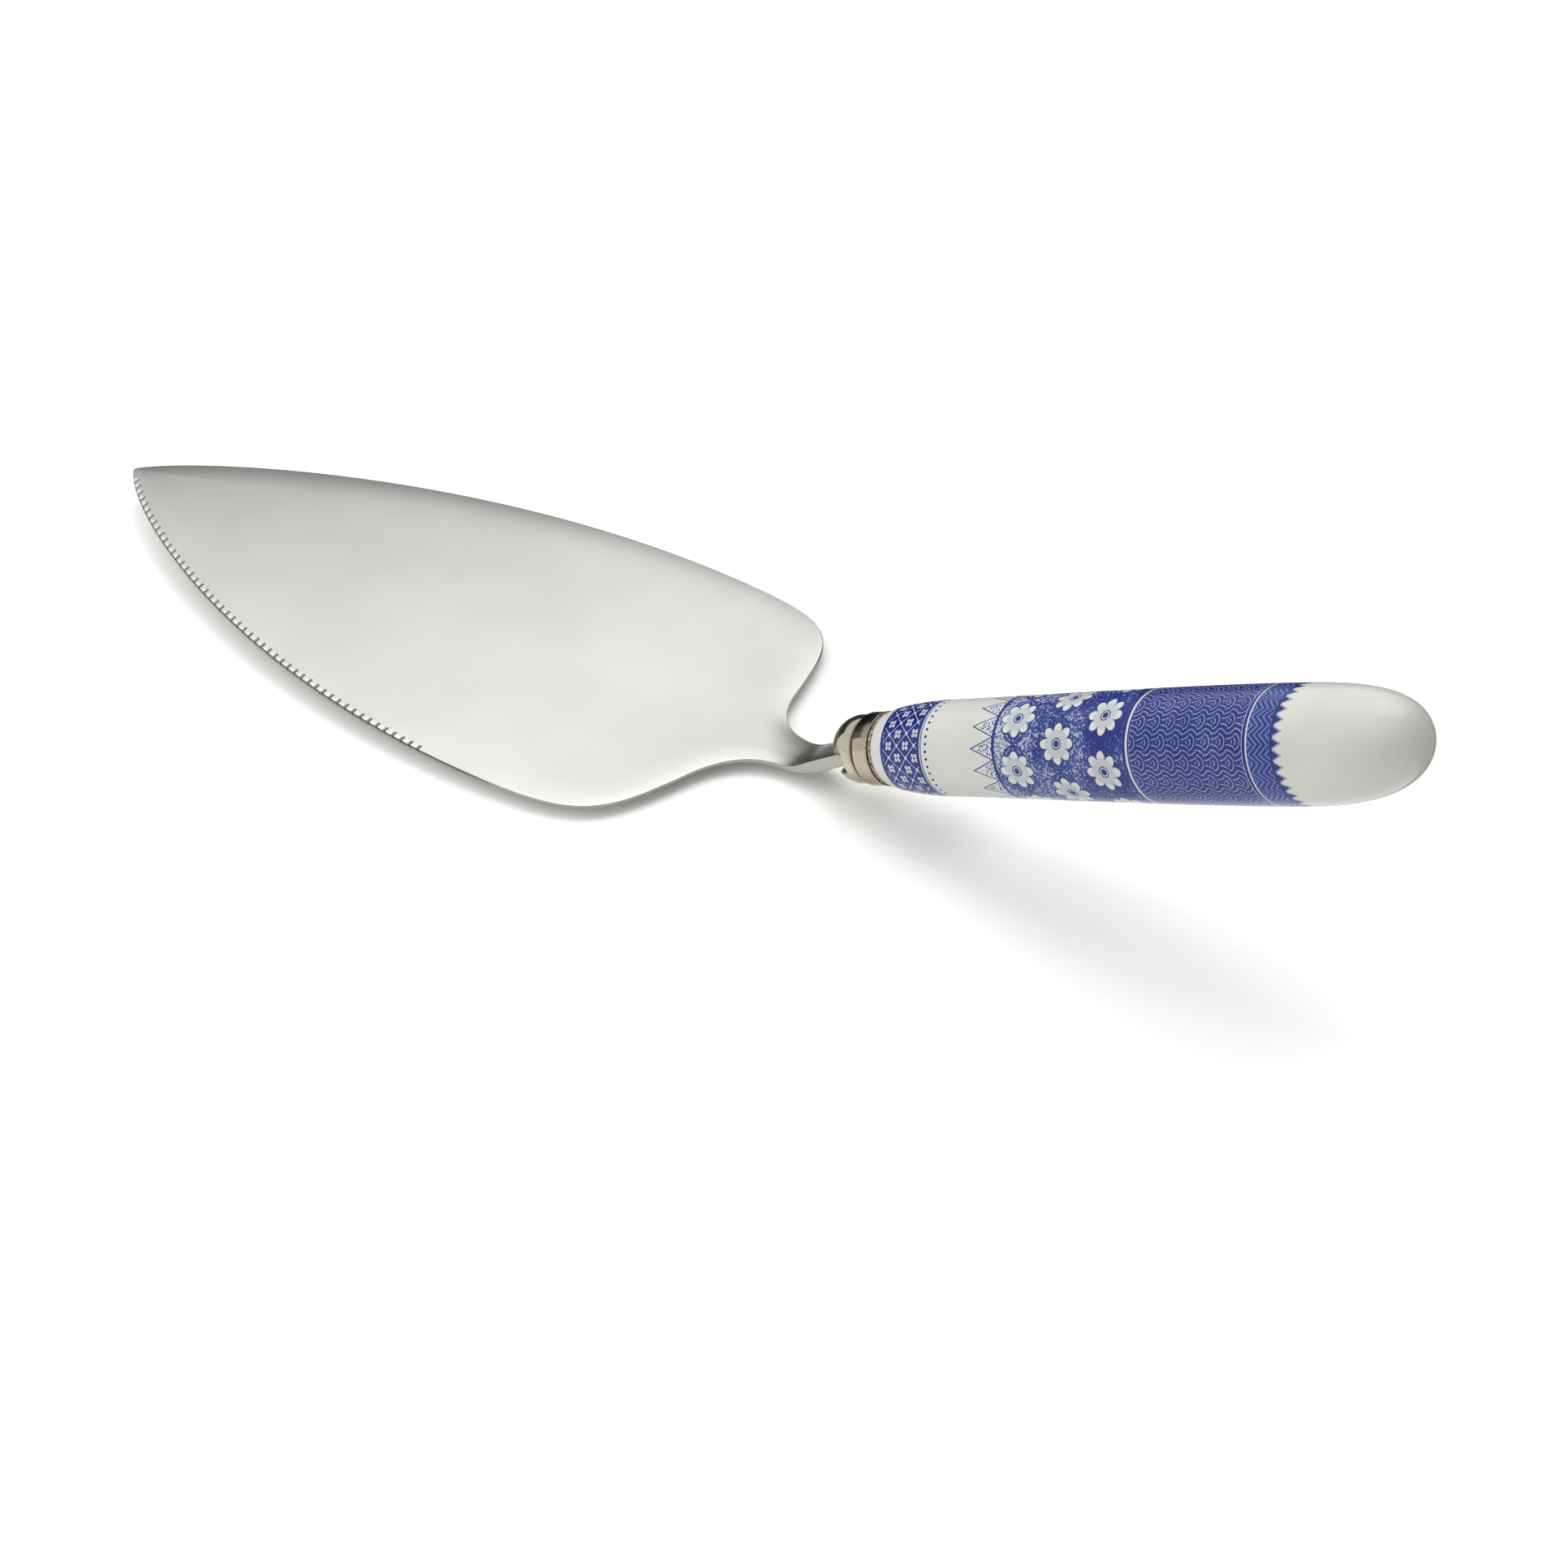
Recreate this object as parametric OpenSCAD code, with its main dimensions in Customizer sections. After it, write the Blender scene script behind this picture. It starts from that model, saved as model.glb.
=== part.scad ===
// Cake server. A leaf-shaped steel blade with one serrated edge sweeps up into a neck, which passes
// through a slotted cap and a collar into a hollow porcelain handle and is held there by cement.
// Millimetres, +Z up. The origin lies on the flat underside of the blade, on the centre line at the
// widest section, and +X points to the handle. Stations named _s run along the handle's axis.

/* [Blade] */
// Distance from the widest section to the tip
tip_reach = 96.4; // [84:0.2:110]
// Greatest width of the blade
blade_w = 68.2; // [60:0.2:76]
// Thickness of the plate
blade_t = 1; // [0.8:0.1:1.4]
// Angle between the centre line and the edge at the tip
tip_angle = 57; // [48:1:62]
// Distance from the widest section to the straight part of the heel
heel_x = 26.9; // [23:0.1:28]
// Width of the blade where the straight part of the heel starts
heel_w = 41.6; // [36:0.2:48]
// Angle between the centre line and the straight part of the heel
heel_angle = 73; // [65:1:80]
// Length of the straight part of the heel
heel_straight = 4.6; // [2:0.1:8]
// Distance from the widest section to where the underside starts to lift
sweep_x = 6; // [2:0.5:16]
// Height of the underside where the plate turns into the neck
heel_lift = 0.9; // [0:0.1:1.5]

/* [Serrations] */
// Distance along the edge from the tip to the first groove
groove_lead = 4.45; // [1:0.05:6]
// Distance along the edge from groove to groove
groove_pitch = 1.82; // [1.5:0.01:3]
// Share of the edge, from the tip to the widest section, that is serrated
serrated_share = 0.92; // [0.3:0.005:0.95]
// Length of a groove, measured in from the edge
groove_run = 1.05; // [0.8:0.05:2]
// Depth of a groove at its inner end
groove_inner_depth = 0.28; // [0.1:0.02:0.4]
// Depth of a groove at the edge
groove_edge_depth = 0.6; // [0.42:0.02:0.75]
// Angle of a groove to the edge's normal, leaning to the tip
groove_slant = 31; // [0:1:40]
// Slope of the groove's long side, towards the tip
groove_ramp_angle = 40; // [30:1:60]
// Slope of the groove's short side, towards the heel
groove_wall_angle = 75; // [60:1:85]

/* [Neck and tang] */
// Distance from the widest section to where the heel runs out into the neck
neck_x = 39; // [36:0.5:42]
// Width of the neck where the heel runs out
neck_w = 7.76; // [6.5:0.02:9]
// Thickness of the neck and tang
neck_t = 2.4; // [2:0.1:2.8]
// Angle at which the neck rises
neck_angle = 32; // [28:0.5:36]
// Distance along the axis from its reference point to the tang
tang_lead = 10; // [9:0.1:11]
// Straight length of the neck's top face in front of the tang
neck_top_run = 9.6; // [8.6:0.1:10.4]
// Straight length of the neck's underside in front of the tang
neck_under_run = 7.3; // [6.2:0.1:8]
// Width of the tang
tang_w = 4.2; // [3.4:0.1:4.8]
// Length of the tang
tang_len = 44; // [30:1:60]
// Radius of the notches in the tang's sides
notch_r = 0.7; // [0.4:0.1:1]

/* [Handle axis] */
// Distance from the widest section to the axis's reference point
axis_x = 44; // [42:0.1:46]
// Height of the axis's reference point
axis_z = 4.5; // [4:0.05:5]
// Angle at which the handle rises
handle_angle = 23.5; // [21:0.1:26]

/* [Cap and collar] */
// Distance along the axis from its reference point to the cap's nose
cap_lead = 4.75; // [4.4:0.05:5.1]
// Length of the cap from its nose to the collar
cap_len = 7.25; // [6.9:0.05:8]
// Length of the cap's rounded nose
nose_len = 5.45; // [4.6:0.05:6.2]
// Thickness of the cap's wall
cap_wall = 0.5; // [0.3:0.05:0.8]
// Length of the slot across the cap, from its nose
slot_len = 4.5; // [3.8:0.1:5]
// Clearance under the neck in the slot
slot_under_gap = 0.1; // [0.05:0.05:0.3]
// Clearance over the neck in the slot
slot_over_gap = 0.35; // [0.1:0.05:0.5]
// Radius of the collar
collar_r = 5.77; // [5.6:0.01:5.95]
// Length of the collar
collar_len = 3.1; // [2.6:0.01:3.6]
// Thickness of the collar's wall
collar_wall = 0.5; // [0.3:0.05:0.6]
// Height of the collar's front edge above the cap
collar_step = 0.37; // [0.3:0.01:0.6]
// Rounding of the collar's front edge
collar_round = 0.3; // [0.1:0.05:0.3]
// Radius of the raised rim round the collar's rear end
rim_r = 0.25; // [0.1:0.05:0.4]
// Length of the cement bead between the collar and the porcelain
bead_len = 0.85; // [0.4:0.05:1.2]
// Height of the cement bead above the handle's spigot
bead_h = 0.6; // [0.3:0.05:0.7]

/* [Handle] */
// Length of the porcelain behind the cement bead
handle_len = 105.9; // [98:0.1:116]
// Radius of the porcelain next to the cement bead
mouth_r = 5.7; // [5.5:0.05:6.2]
// Distance from the cement bead to the end of the rounded shoulder
waist_reach = 11.3; // [9:0.1:15]
// Radius at the end of the rounded shoulder
waist_r = 7.45; // [7:0.01:7.9]
// Distance from the cement bead to the thickest place
belly_reach = 83.7; // [80:0.1:90]
// Radius at the thickest place
belly_r = 9.27; // [8.6:0.01:10]
// Thickness of the porcelain wall
handle_wall = 2.6; // [2:0.1:3]
// Thickness of the porcelain at the butt
butt_wall = 4; // [2.5:0.1:6]
// Length of the spigot that goes into the collar
spigot_len = 2.3; // [1.8:0.1:2.6]
// Clearance between the spigot and the collar
spigot_gap = 0.1; // [0.05:0.05:0.2]
// Radius of the bore at the handle's mouth
bore_r = 3.4; // [3.1:0.1:3.8]
// Distance from the cement bead to where the bore opens out
throat_reach = 4; // [2:0.5:7]
// Length of the cement in front of the cap's end
cement_lead = 2.8; // [1:0.1:3.2]
// Length of the cement behind the tang's end
cement_cover = 6; // [2:0.5:12]

/* [Hidden] */
$fn = 96;

// Points on a long curve, a short curve and a quarter turn
long_steps = 40;
short_steps = 14;
turn_steps = 18;

// How far every cut runs past the surface it opens
overrun = 1;

// Pulls of the outline's curves, as shares of the sizes that they follow
tip_pull_share = 0.1;
edge_pull_share = 0.53;
shoulder_pull_share = 0.66;
heel_pull_share = 0.89;
fillet_pull_shares = [0.18, 0.83];
neck_pull_share = 0.38;
neck_slope_share = 0.45;
sweep_pull_shares = [0.55, 0.2];
neck_bend_shares = [0.42, 0.3];
shoulder_round_shares = [0.11, 0.26];
side_pull_share = 0.3;
butt_pull_shares = [0.81, 0.57];
notch_shares = [0.35, 0.7];

function bezier_point(p, t) =
    pow(1 - t, 3) * p[0] + 3 * t * pow(1 - t, 2) * p[1] + 3 * t * t * (1 - t) * p[2] + pow(t, 3) * p[3];
function bezier(p, steps) = [for (i = [0:steps]) bezier_point(p, i / steps)];
function toward(angle, length) = length * [cos(angle), sin(angle)];
function arc(centre, r, from, to) =
    [for (i = [0:turn_steps]) centre + toward(from + (to - from) * i / turn_steps, r)];
function past_first(list) = [for (i = [1:len(list) - 1]) list[i]];
function back_to_front(list) = [for (i = [len(list) - 1:-1:0]) list[i]];
function lengths(p) =
    [for (i = 0, a = 0; i < len(p); a = a + (i + 1 < len(p) ? norm(p[i + 1] - p[i]) : 0), i = i + 1) a];

// Stations along the handle's axis
seam_s = cap_lead + cap_len;
lip_s = seam_s + collar_wall;
rim_s = seam_s + collar_len;
mouth_s = rim_s + bead_len;
spigot_s = mouth_s - spigot_len;
throat_s = mouth_s + throat_reach;
waist_s = mouth_s + waist_reach;
belly_s = mouth_s + belly_reach;
butt_s = mouth_s + handle_len;
tang_end_s = tang_lead + tang_len;
cement_s = lip_s - cement_lead;
cement_end_s = tang_end_s + cement_cover;

collar_bore_r = collar_r - collar_wall;
cap_r = collar_r - collar_step;
cap_bore_r = cap_r - cap_wall;
spigot_r = collar_bore_r - spigot_gap;

// A point in the XZ plane, given by its station on the handle's axis and its height above the axis
function on_axis_xz(s, h) = [axis_x, axis_z] + toward(handle_angle, s) + toward(handle_angle + 90, h);

// Plan of the blade, from the tip to the tang's end, on one side of the centre line
tip = [-tip_reach, 0];
widest = [0, blade_w / 2];
heel_start = [heel_x, heel_w / 2];
heel_end = heel_start + toward(-heel_angle, heel_straight);
neck_start = [neck_x, neck_w / 2];
tang_start = [on_axis_xz(tang_lead, 0).x, tang_w / 2];
tang_end = [on_axis_xz(tang_end_s, 0).x, tang_w / 2];
fillet_len = neck_start.x - heel_end.x;
neck_len = tang_start.x - neck_start.x;
neck_slope = (tang_start.y - neck_start.y) / neck_len * neck_slope_share;

edge_curve = bezier([
    tip,
    tip + toward(tip_angle, tip_pull_share * tip_reach),
    widest - [edge_pull_share * tip_reach, 0],
    widest
], long_steps);
shoulder_curve = bezier([
    widest,
    widest + [shoulder_pull_share * heel_x, 0],
    heel_start - toward(-heel_angle, heel_pull_share * (widest.y - heel_start.y)),
    heel_start
], short_steps);
fillet_curve = bezier([
    heel_end,
    heel_end + toward(-heel_angle, fillet_pull_shares[0] * fillet_len),
    neck_start - [1, neck_slope] * fillet_pull_shares[1] * fillet_len,
    neck_start
], short_steps);
neck_curve = bezier([
    neck_start,
    neck_start + [1, neck_slope] * neck_pull_share * neck_len,
    tang_start + [-neck_pull_share * neck_len, neck_pull_share * (neck_start.y - tang_start.y)],
    tang_start
], short_steps);
half_plan = concat(
    edge_curve,
    past_first(shoulder_curve),
    fillet_curve,
    past_first(neck_curve),
    [tang_end + [overrun, 0]]
);
plan = concat(half_plan, [for (p = back_to_front(past_first(half_plan))) [p.x, -p.y]]);

// Side of the blade in the XZ plane. The neck is a strip that meets the tang on the handle's axis.
tang_top = on_axis_xz(tang_lead, neck_t / 2);
tang_under = on_axis_xz(tang_lead, -neck_t / 2);
neck_top = tang_top - toward(neck_angle, neck_top_run);
neck_under = tang_under - toward(neck_angle, neck_under_run);
lift_slope = heel_lift / (neck_x - sweep_x);

// The top sweeps up in a curve. The underside lifts in one flat facet, on which the server rests back.
sweep_curve = bezier([
    [sweep_x, blade_t],
    [sweep_x + sweep_pull_shares[0] * (neck_x - sweep_x), blade_t],
    [neck_x, blade_t + heel_lift] - [1, lift_slope] * sweep_pull_shares[1] * (neck_x - sweep_x),
    [neck_x, blade_t + heel_lift]
], short_steps);
function bend_curve(from, to) = bezier([
    from,
    from + [1, lift_slope] * neck_bend_shares[0] * (to.x - from.x),
    to - toward(neck_angle, neck_bend_shares[1] * (to.x - from.x) / cos(neck_angle)),
    to
], short_steps);

side = concat(
    [[-tip_reach - overrun, 0], [sweep_x, 0]],
    bend_curve([neck_x, heel_lift], neck_under),
    [tang_under, on_axis_xz(tang_end_s, -neck_t / 2), on_axis_xz(tang_end_s, neck_t / 2), tang_top],
    back_to_front(past_first(bend_curve([neck_x, heel_lift + blade_t], neck_top))),
    back_to_front(sweep_curve),
    [[-tip_reach - overrun, blade_t]]
);
blade_top = on_axis_xz(tang_end_s, neck_t / 2).y;

// The serrated edge, by length along it from the tip
edge_lengths = lengths(edge_curve);
edge_xs = [for (i = [0:long_steps]) [edge_lengths[i], edge_curve[i].x]];
edge_ys = [for (i = [0:long_steps]) [edge_lengths[i], edge_curve[i].y]];
function edge_at(length) = [lookup(length, edge_xs), lookup(length, edge_ys)];
groove_reach = edge_lengths[long_steps] * serrated_share - groove_lead;
groove_count = floor(groove_reach / groove_pitch) + 1;
groove_tilt = atan((groove_edge_depth - groove_inner_depth) / groove_run);
groove_h = groove_inner_depth + overrun;

// Profiles round the handle's axis, as station and radius
shoulder_len = waist_s - mouth_s;
side_slope = (belly_r - waist_r) / (belly_s - waist_s);
butt_len = butt_s - belly_s;

function nose_curve(start_s, length, r) =
    [for (i = [0:turn_steps])
        let (turn = 90 * i / turn_steps)
            [start_s + length * (1 - cos(turn)), r * sin(turn)]];
function butt_curve(length, r) = bezier([
    [belly_s, r],
    [belly_s + butt_pull_shares[0] * length, r],
    [belly_s + length, butt_pull_shares[1] * r],
    [belly_s + length, 0]
], turn_steps);

shoulder_profile = bezier([
    [mouth_s, mouth_r],
    [mouth_s, mouth_r] + toward(45, shoulder_round_shares[0] * shoulder_len),
    [waist_s, waist_r] - [1, side_slope] * shoulder_round_shares[1] * shoulder_len,
    [waist_s, waist_r]
], short_steps);
side_profile = bezier([
    [waist_s, waist_r],
    [waist_s, waist_r] + [1, side_slope] * side_pull_share * (belly_s - waist_s),
    [belly_s - side_pull_share * (belly_s - waist_s), belly_r],
    [belly_s, belly_r]
], short_steps);
hollow_side = [for (p = side_profile) p - [0, handle_wall]];

cap_profile = concat(
    nose_curve(cap_lead, nose_len, cap_r),
    [[lip_s, cap_r], [lip_s, cap_bore_r]],
    back_to_front(nose_curve(cap_lead + cap_wall, nose_len - cap_wall, cap_bore_r))
);
collar_profile = concat(
    [[seam_s, cap_r]],
    back_to_front(arc([seam_s + collar_round, collar_r - collar_round], collar_round, 90, 180)),
    back_to_front(arc([rim_s - rim_r, collar_r], rim_r, 0, 180)),
    [[rim_s, collar_bore_r], [lip_s, collar_bore_r], [lip_s, cap_r]]
);
bead_profile = [
    [rim_s, spigot_r],
    [rim_s, spigot_r + bead_h],
    [mouth_s, spigot_r + bead_h],
    [mouth_s, spigot_r]
];
handle_profile = concat(
    [[spigot_s, bore_r], [spigot_s, spigot_r], [mouth_s, spigot_r]],
    shoulder_profile,
    past_first(side_profile),
    past_first(butt_curve(butt_len, belly_r)),
    back_to_front(butt_curve(butt_len - butt_wall, belly_r - handle_wall)),
    past_first(back_to_front(hollow_side)),
    [[throat_s, bore_r]]
);
cement_profile = concat(
    [[cement_s, 0], [cement_s, cap_bore_r], [lip_s, cap_bore_r]],
    [[lip_s, collar_bore_r], [spigot_s, collar_bore_r]],
    [[spigot_s, bore_r], [throat_s, bore_r]],
    [for (p = hollow_side) if (p.x < cement_end_s) p],
    [[cement_end_s, lookup(cement_end_s, hollow_side)], [cement_end_s, 0]]
);

// The slot across the cap, along the neck, as station and height above the handle's axis
neck_lean = neck_angle - handle_angle;
neck_half_h = neck_t / 2 / cos(neck_lean);
slot_s = cap_lead + slot_len;
function neck_h(s) = (s - tang_lead) * tan(neck_lean);
slot_profile = concat(
    [for (s = [cap_lead - overrun, slot_s]) [s, neck_h(s) - neck_half_h - slot_under_gap]],
    [for (s = [slot_s, cap_lead - overrun]) [s, neck_h(s) + neck_half_h + slot_over_gap]]
);

// Children stand on the handle's axis: their Z runs along it, and their -X points up
module on_axis() {
    translate([axis_x, 0, axis_z])
        rotate([0, 90 - handle_angle, 0])
            children();
}

module turned(profile) {
    on_axis()
        rotate_extrude()
            polygon([for (p = profile) [p.y, p.x]]);
}

// One groove, with its inner end on the top face at the origin and its run towards -Y
module groove() {
    rotate([groove_tilt, 0, 0])
        rotate([90, 0, 0])
            linear_extrude(height = groove_run + 2 * overrun)
                polygon([
                    [0, -groove_inner_depth],
                    [groove_h / tan(groove_wall_angle), overrun],
                    [-groove_h / tan(groove_ramp_angle), overrun]
                ]);
}

module serrations() {
    for (i = [0:groove_count - 1]) {
        along = groove_lead + i * groove_pitch;
        here = edge_at(along);
        ahead = edge_at(along + groove_pitch) - here;
        translate([here.x, -here.y, blade_t])
            rotate(atan2(-ahead.y, ahead.x) + groove_slant)
                translate([0, groove_run, 0])
                    groove();
    }
}

module tang_notches() {
    on_axis()
        for (share = notch_shares, hand = [-1, 1])
            translate([0, hand * tang_w / 2, tang_lead + share * tang_len])
                rotate([0, 90, 0])
                    cylinder(r = notch_r, h = neck_t + 2 * overrun, center = true);
}

module blade_solid() {
    difference() {
        intersection() {
            translate([0, 0, -overrun])
                linear_extrude(height = blade_top + 2 * overrun)
                    polygon(plan);
            rotate([90, 0, 0])
                linear_extrude(height = blade_w + 2 * overrun, center = true)
                    polygon(side);
        }
        tang_notches();
    }
}

module blade() {
    color("gainsboro")
        difference() {
            blade_solid();
            serrations();
        }
}

module slot() {
    on_axis()
        rotate([90, 0, 0])
            linear_extrude(height = 2 * (cap_r + overrun), center = true)
                polygon([for (p = slot_profile) [-p.y, p.x]]);
}

module dome_cap() {
    color("tan")
        difference() {
            turned(cap_profile);
            slot();
        }
}

module collar() {
    color("tan")
        turned(collar_profile);
}

module joint_bead() {
    color("dimgray")
        turned(bead_profile);
}

module cement_core() {
    color("darkgray")
        difference() {
            turned(cement_profile);
            blade_solid();
        }
}

module handle() {
    color("whitesmoke")
        turned(handle_profile);
}

blade();
dome_cap();
collar();
joint_bead();
cement_core();
handle();
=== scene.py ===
"""Cake server: a satin steel blade with one serrated edge, a white-metal cap and collar, and a porcelain
handle with a banded blue print. Sizes are in millimetres and become metres where meshes are made."""

import math

import bmesh
import bpy
import numpy as np
from mathutils import Matrix, Vector


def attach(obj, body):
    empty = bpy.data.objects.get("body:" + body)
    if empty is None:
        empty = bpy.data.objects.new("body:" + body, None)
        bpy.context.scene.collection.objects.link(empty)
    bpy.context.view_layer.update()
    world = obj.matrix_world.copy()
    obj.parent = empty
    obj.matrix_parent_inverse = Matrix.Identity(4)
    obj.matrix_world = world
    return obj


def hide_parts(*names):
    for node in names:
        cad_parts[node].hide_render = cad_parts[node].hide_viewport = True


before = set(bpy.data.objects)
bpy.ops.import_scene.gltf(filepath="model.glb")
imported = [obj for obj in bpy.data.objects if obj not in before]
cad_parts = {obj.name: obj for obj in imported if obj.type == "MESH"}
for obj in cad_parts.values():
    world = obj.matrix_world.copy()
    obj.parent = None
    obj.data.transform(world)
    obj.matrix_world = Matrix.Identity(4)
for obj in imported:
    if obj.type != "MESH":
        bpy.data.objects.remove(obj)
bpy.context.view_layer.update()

MM = 0.001

# Blade, seen from above: the tip is at -X, and the outline is the same on both sides
TIP_REACH = 96.4
TIP_ROUND = 1.0
TIP_ANGLE = 57.0
HALF_W = 34.1
HEEL = np.array([26.9, 20.8])
HEEL_ANGLE = 73.0
HEEL_STRAIGHT = 4.6
NECK = np.array([39.0, 3.88])
TANG_HALF_W = 2.1
TANG_LEN = 44.0
TIP_PULL = 0.1
EDGE_PULL = 0.53
SHOULDER_PULL = 0.66
HEEL_PULL = 0.89
FILLET_PULLS = (0.18, 0.83)
NECK_PULL = 0.38
NECK_SLOPE = 0.45

# Blade, seen from the side
BLADE_T = 1.0
SWEEP_X = 6.0
HEEL_LIFT = 0.9
NECK_T = 2.4
NECK_ANGLE = 32.0
NECK_TOP_RUN = 9.6
NECK_UNDER_RUN = 7.3
SWEEP_PULLS = (0.55, 0.2)
BEND_PULLS = (0.42, 0.3)

# Edges of the blade: a small rounding and a soft roll-off of the top, with the columns that follow them
EDGE_ROUND = 0.12
ROLL_W = 8.0
ROLL_DROP = 0.2
ROLL_CURVE = 3
TOP_INSETS = (0.2, 0.32, 0.45, 0.6, 0.75, 0.88, 0.98, 1.05, 1.12, 1.25, 1.5, 2.0, 2.8, 3.8, 5.0, 6.5, 8.0)
UNDER_INSETS = (0.3, 2.0, 8.0)
INNER_COLUMNS = 12
INSET_WIDTH_SHARE = 0.55

# Serrations, along the -Y edge: each groove ramps down towards the heel and ends in a steep wall
GROOVE_LEAD = 4.45
GROOVE_PITCH = 1.82
SERRATED_SHARE = 0.92
GROOVE_RUN = 1.05
GROOVE_INNER_DEPTH = 0.28
GROOVE_EDGE_DEPTH = 0.5
GROOVE_RAMP_W = 1.0
GROOVE_RAMP_STEPS = 8
GROOVE_WALL_W = 0.05
GROOVE_CURVE = 1.3
GROOVE_END_CURVE = 6
SLANT_FADE = 3.0
SLANT_LIMIT = 0.5

# Handle axis
AXIS_X = 44.0
AXIS_Z = 4.5
AXIS_ANGLE = 23.5
TANG_S = 10.0

# Cap, collar and cement bead
CAP_S = 4.75
CAP_LEN = 7.25
COLLAR_LEN = 3.1
BEAD_LEN = 0.85
CAP_R = 5.4
CAP_WALL = 0.5
NOSE_LEN = 4.9
CAP_CURL = 0.34
LIP_ROUND = 0.12
COLLAR_R = 5.77
COLLAR_WALL = 0.5
COLLAR_ROUND = 0.15
RIM_R = 0.1
SPIGOT_R = 5.17
BEAD_H = 0.55
BEAD_CURVE = 0.4
BEAD_GRIT = 0.04
GRIT_SEED = 7
SLOT_LEN = 4.7
SLOT_GAPS = (0.4, 0.35)

# Handle
HANDLE_LEN = 105.9
WAIST_REACH = 11.3
BELLY_REACH = 83.7
SPIGOT_LEN = 2.3
THROAT_REACH = 4.0
MOUTH_R = 5.7
WAIST_R = 7.45
BELLY_R = 9.27
BORE_R = 3.4
HANDLE_WALL = 2.6
BUTT_WALL = 4.0
SHOULDER_ANGLE = 45.0
SHOULDER_PULLS = (0.11, 0.26)
SIDE_PULL = 0.3
BUTT_PULLS = (0.81, 0.57)
BUTT_RISE = 0.87
BUTT_RISE_LEN = 24.0

# Stations along the handle's axis
SEAM_S = CAP_S + CAP_LEN
LIP_S = SEAM_S + COLLAR_WALL
RIM_S = SEAM_S + COLLAR_LEN
MOUTH_S = RIM_S + BEAD_LEN
SPIGOT_S = MOUTH_S - SPIGOT_LEN
THROAT_S = MOUTH_S + THROAT_REACH
WAIST_S = MOUTH_S + WAIST_REACH
BELLY_S = MOUTH_S + BELLY_REACH
BUTT_S = MOUTH_S + HANDLE_LEN

AXIS_DIR = Vector((math.cos(math.radians(AXIS_ANGLE)), 0, math.sin(math.radians(AXIS_ANGLE))))
AXIS_UP = Vector((-AXIS_DIR.z, 0, AXIS_DIR.x))
AXIS_FROM = Vector((AXIS_X, 0, AXIS_Z))

# Mesh density
LONG_STEPS = 1200
SHORT_STEPS = 40
TURN_STEPS = 12
RIM_STEPS = 6
AROUND = 192
TURNS = [2 * math.pi * j / AROUND for j in range(AROUND)]
SHARP_ANGLE = math.radians(32)
WELD = 1e-7
GROOVE_MARK = "groove"


def toward(angle, length):
    """A step of that length at that angle in degrees, in the plane."""
    turn = math.radians(angle)
    return length * np.array([math.cos(turn), math.sin(turn)])


def bezier(points, steps):
    """Points along a cubic curve with four control points."""
    p = np.array(points, float)
    t = np.linspace(0, 1, steps + 1)[:, None]
    return (1 - t) ** 3 * p[0] + 3 * t * (1 - t) ** 2 * p[1] + 3 * t * t * (1 - t) * p[2] + t**3 * p[3]


def arc(centre, radius, start, end, steps=TURN_STEPS):
    """Points along an arc, from angle to angle in degrees."""
    return np.array([centre + toward(start + (end - start) * i / steps, radius) for i in range(steps + 1)])


def lengths_along(points):
    """The length from the first point of a line to each of its points."""
    return np.concatenate([[0], np.cumsum(np.linalg.norm(np.diff(points, axis=0), axis=1))])


def on_axis(s, h):
    """Place in the XZ plane of a station on the handle's axis and a height above the axis."""
    return np.array([AXIS_X, AXIS_Z]) + toward(AXIS_ANGLE, s) + toward(AXIS_ANGLE + 90, h)


# Meshes


def make_object(name, verts, faces, marks=None):
    """A smooth-shaded mesh object from points in millimetres, welded, with its normals outwards. The points
    may carry how far down a groove they lie."""
    mesh = bpy.data.meshes.new(name)
    mesh.from_pydata([tuple(MM * c for c in v) for v in verts], [], faces)
    if marks:
        mesh.attributes.new(GROOVE_MARK, "FLOAT", "POINT").data.foreach_set("value", marks)
    bm = bmesh.new()
    bm.from_mesh(mesh)
    bmesh.ops.remove_doubles(bm, verts=bm.verts, dist=WELD)
    bmesh.ops.recalc_face_normals(bm, faces=bm.faces)
    bm.to_mesh(mesh)
    bm.free()
    obj = bpy.data.objects.new(name, mesh)
    bpy.context.scene.collection.objects.link(obj)
    smooth(obj)
    return obj


def smooth(obj):
    """Smooth shading, with edges kept sharp where the faces turn by more than the sharp angle."""
    obj.data.shade_smooth()
    obj.data.set_sharp_from_angle(angle=SHARP_ANGLE)


def cut(obj, cutter):
    """Takes the cutter out of the object and deletes the cutter."""
    step = obj.modifiers.new("cut", "BOOLEAN")
    step.operation = "DIFFERENCE"
    step.solver = "EXACT"
    step.object = cutter
    graph = bpy.context.evaluated_depsgraph_get()
    done = bpy.data.meshes.new_from_object(obj.evaluated_get(graph))
    obj.modifiers.clear()
    obj.data = done
    done.name = obj.name
    bpy.data.objects.remove(cutter)
    smooth(obj)


def axis_point(s, h, y):
    """A point given by its station on the handle's axis, its height above the axis and its Y."""
    x, z = on_axis(s, h)
    return (x, y, z)


def skin(rows, size, closed):
    """Quads between neighbouring rows of points, where each row is a closed loop of that size."""
    pairs = [(i * size, (i + 1) % rows * size) for i in range(rows if closed else rows - 1)]
    return [(a + j, a + (j + 1) % size, b + (j + 1) % size, b + j) for a, b in pairs for j in range(size)]


def wrap(name, rows):
    """A solid from closed rows of points that go once round the handle's axis."""
    points = [point for row in rows for point in row]
    return make_object(name, points, skin(len(rows), len(rows[0]), True))


def revolve(name, profile, place=axis_point):
    """A solid of revolution round the handle's axis from a closed profile of stations and radii."""
    rows = [[place(s, r * math.cos(turn), r * math.sin(turn)) for s, r in profile] for turn in TURNS]
    return wrap(name, rows)


# Blade


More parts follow.
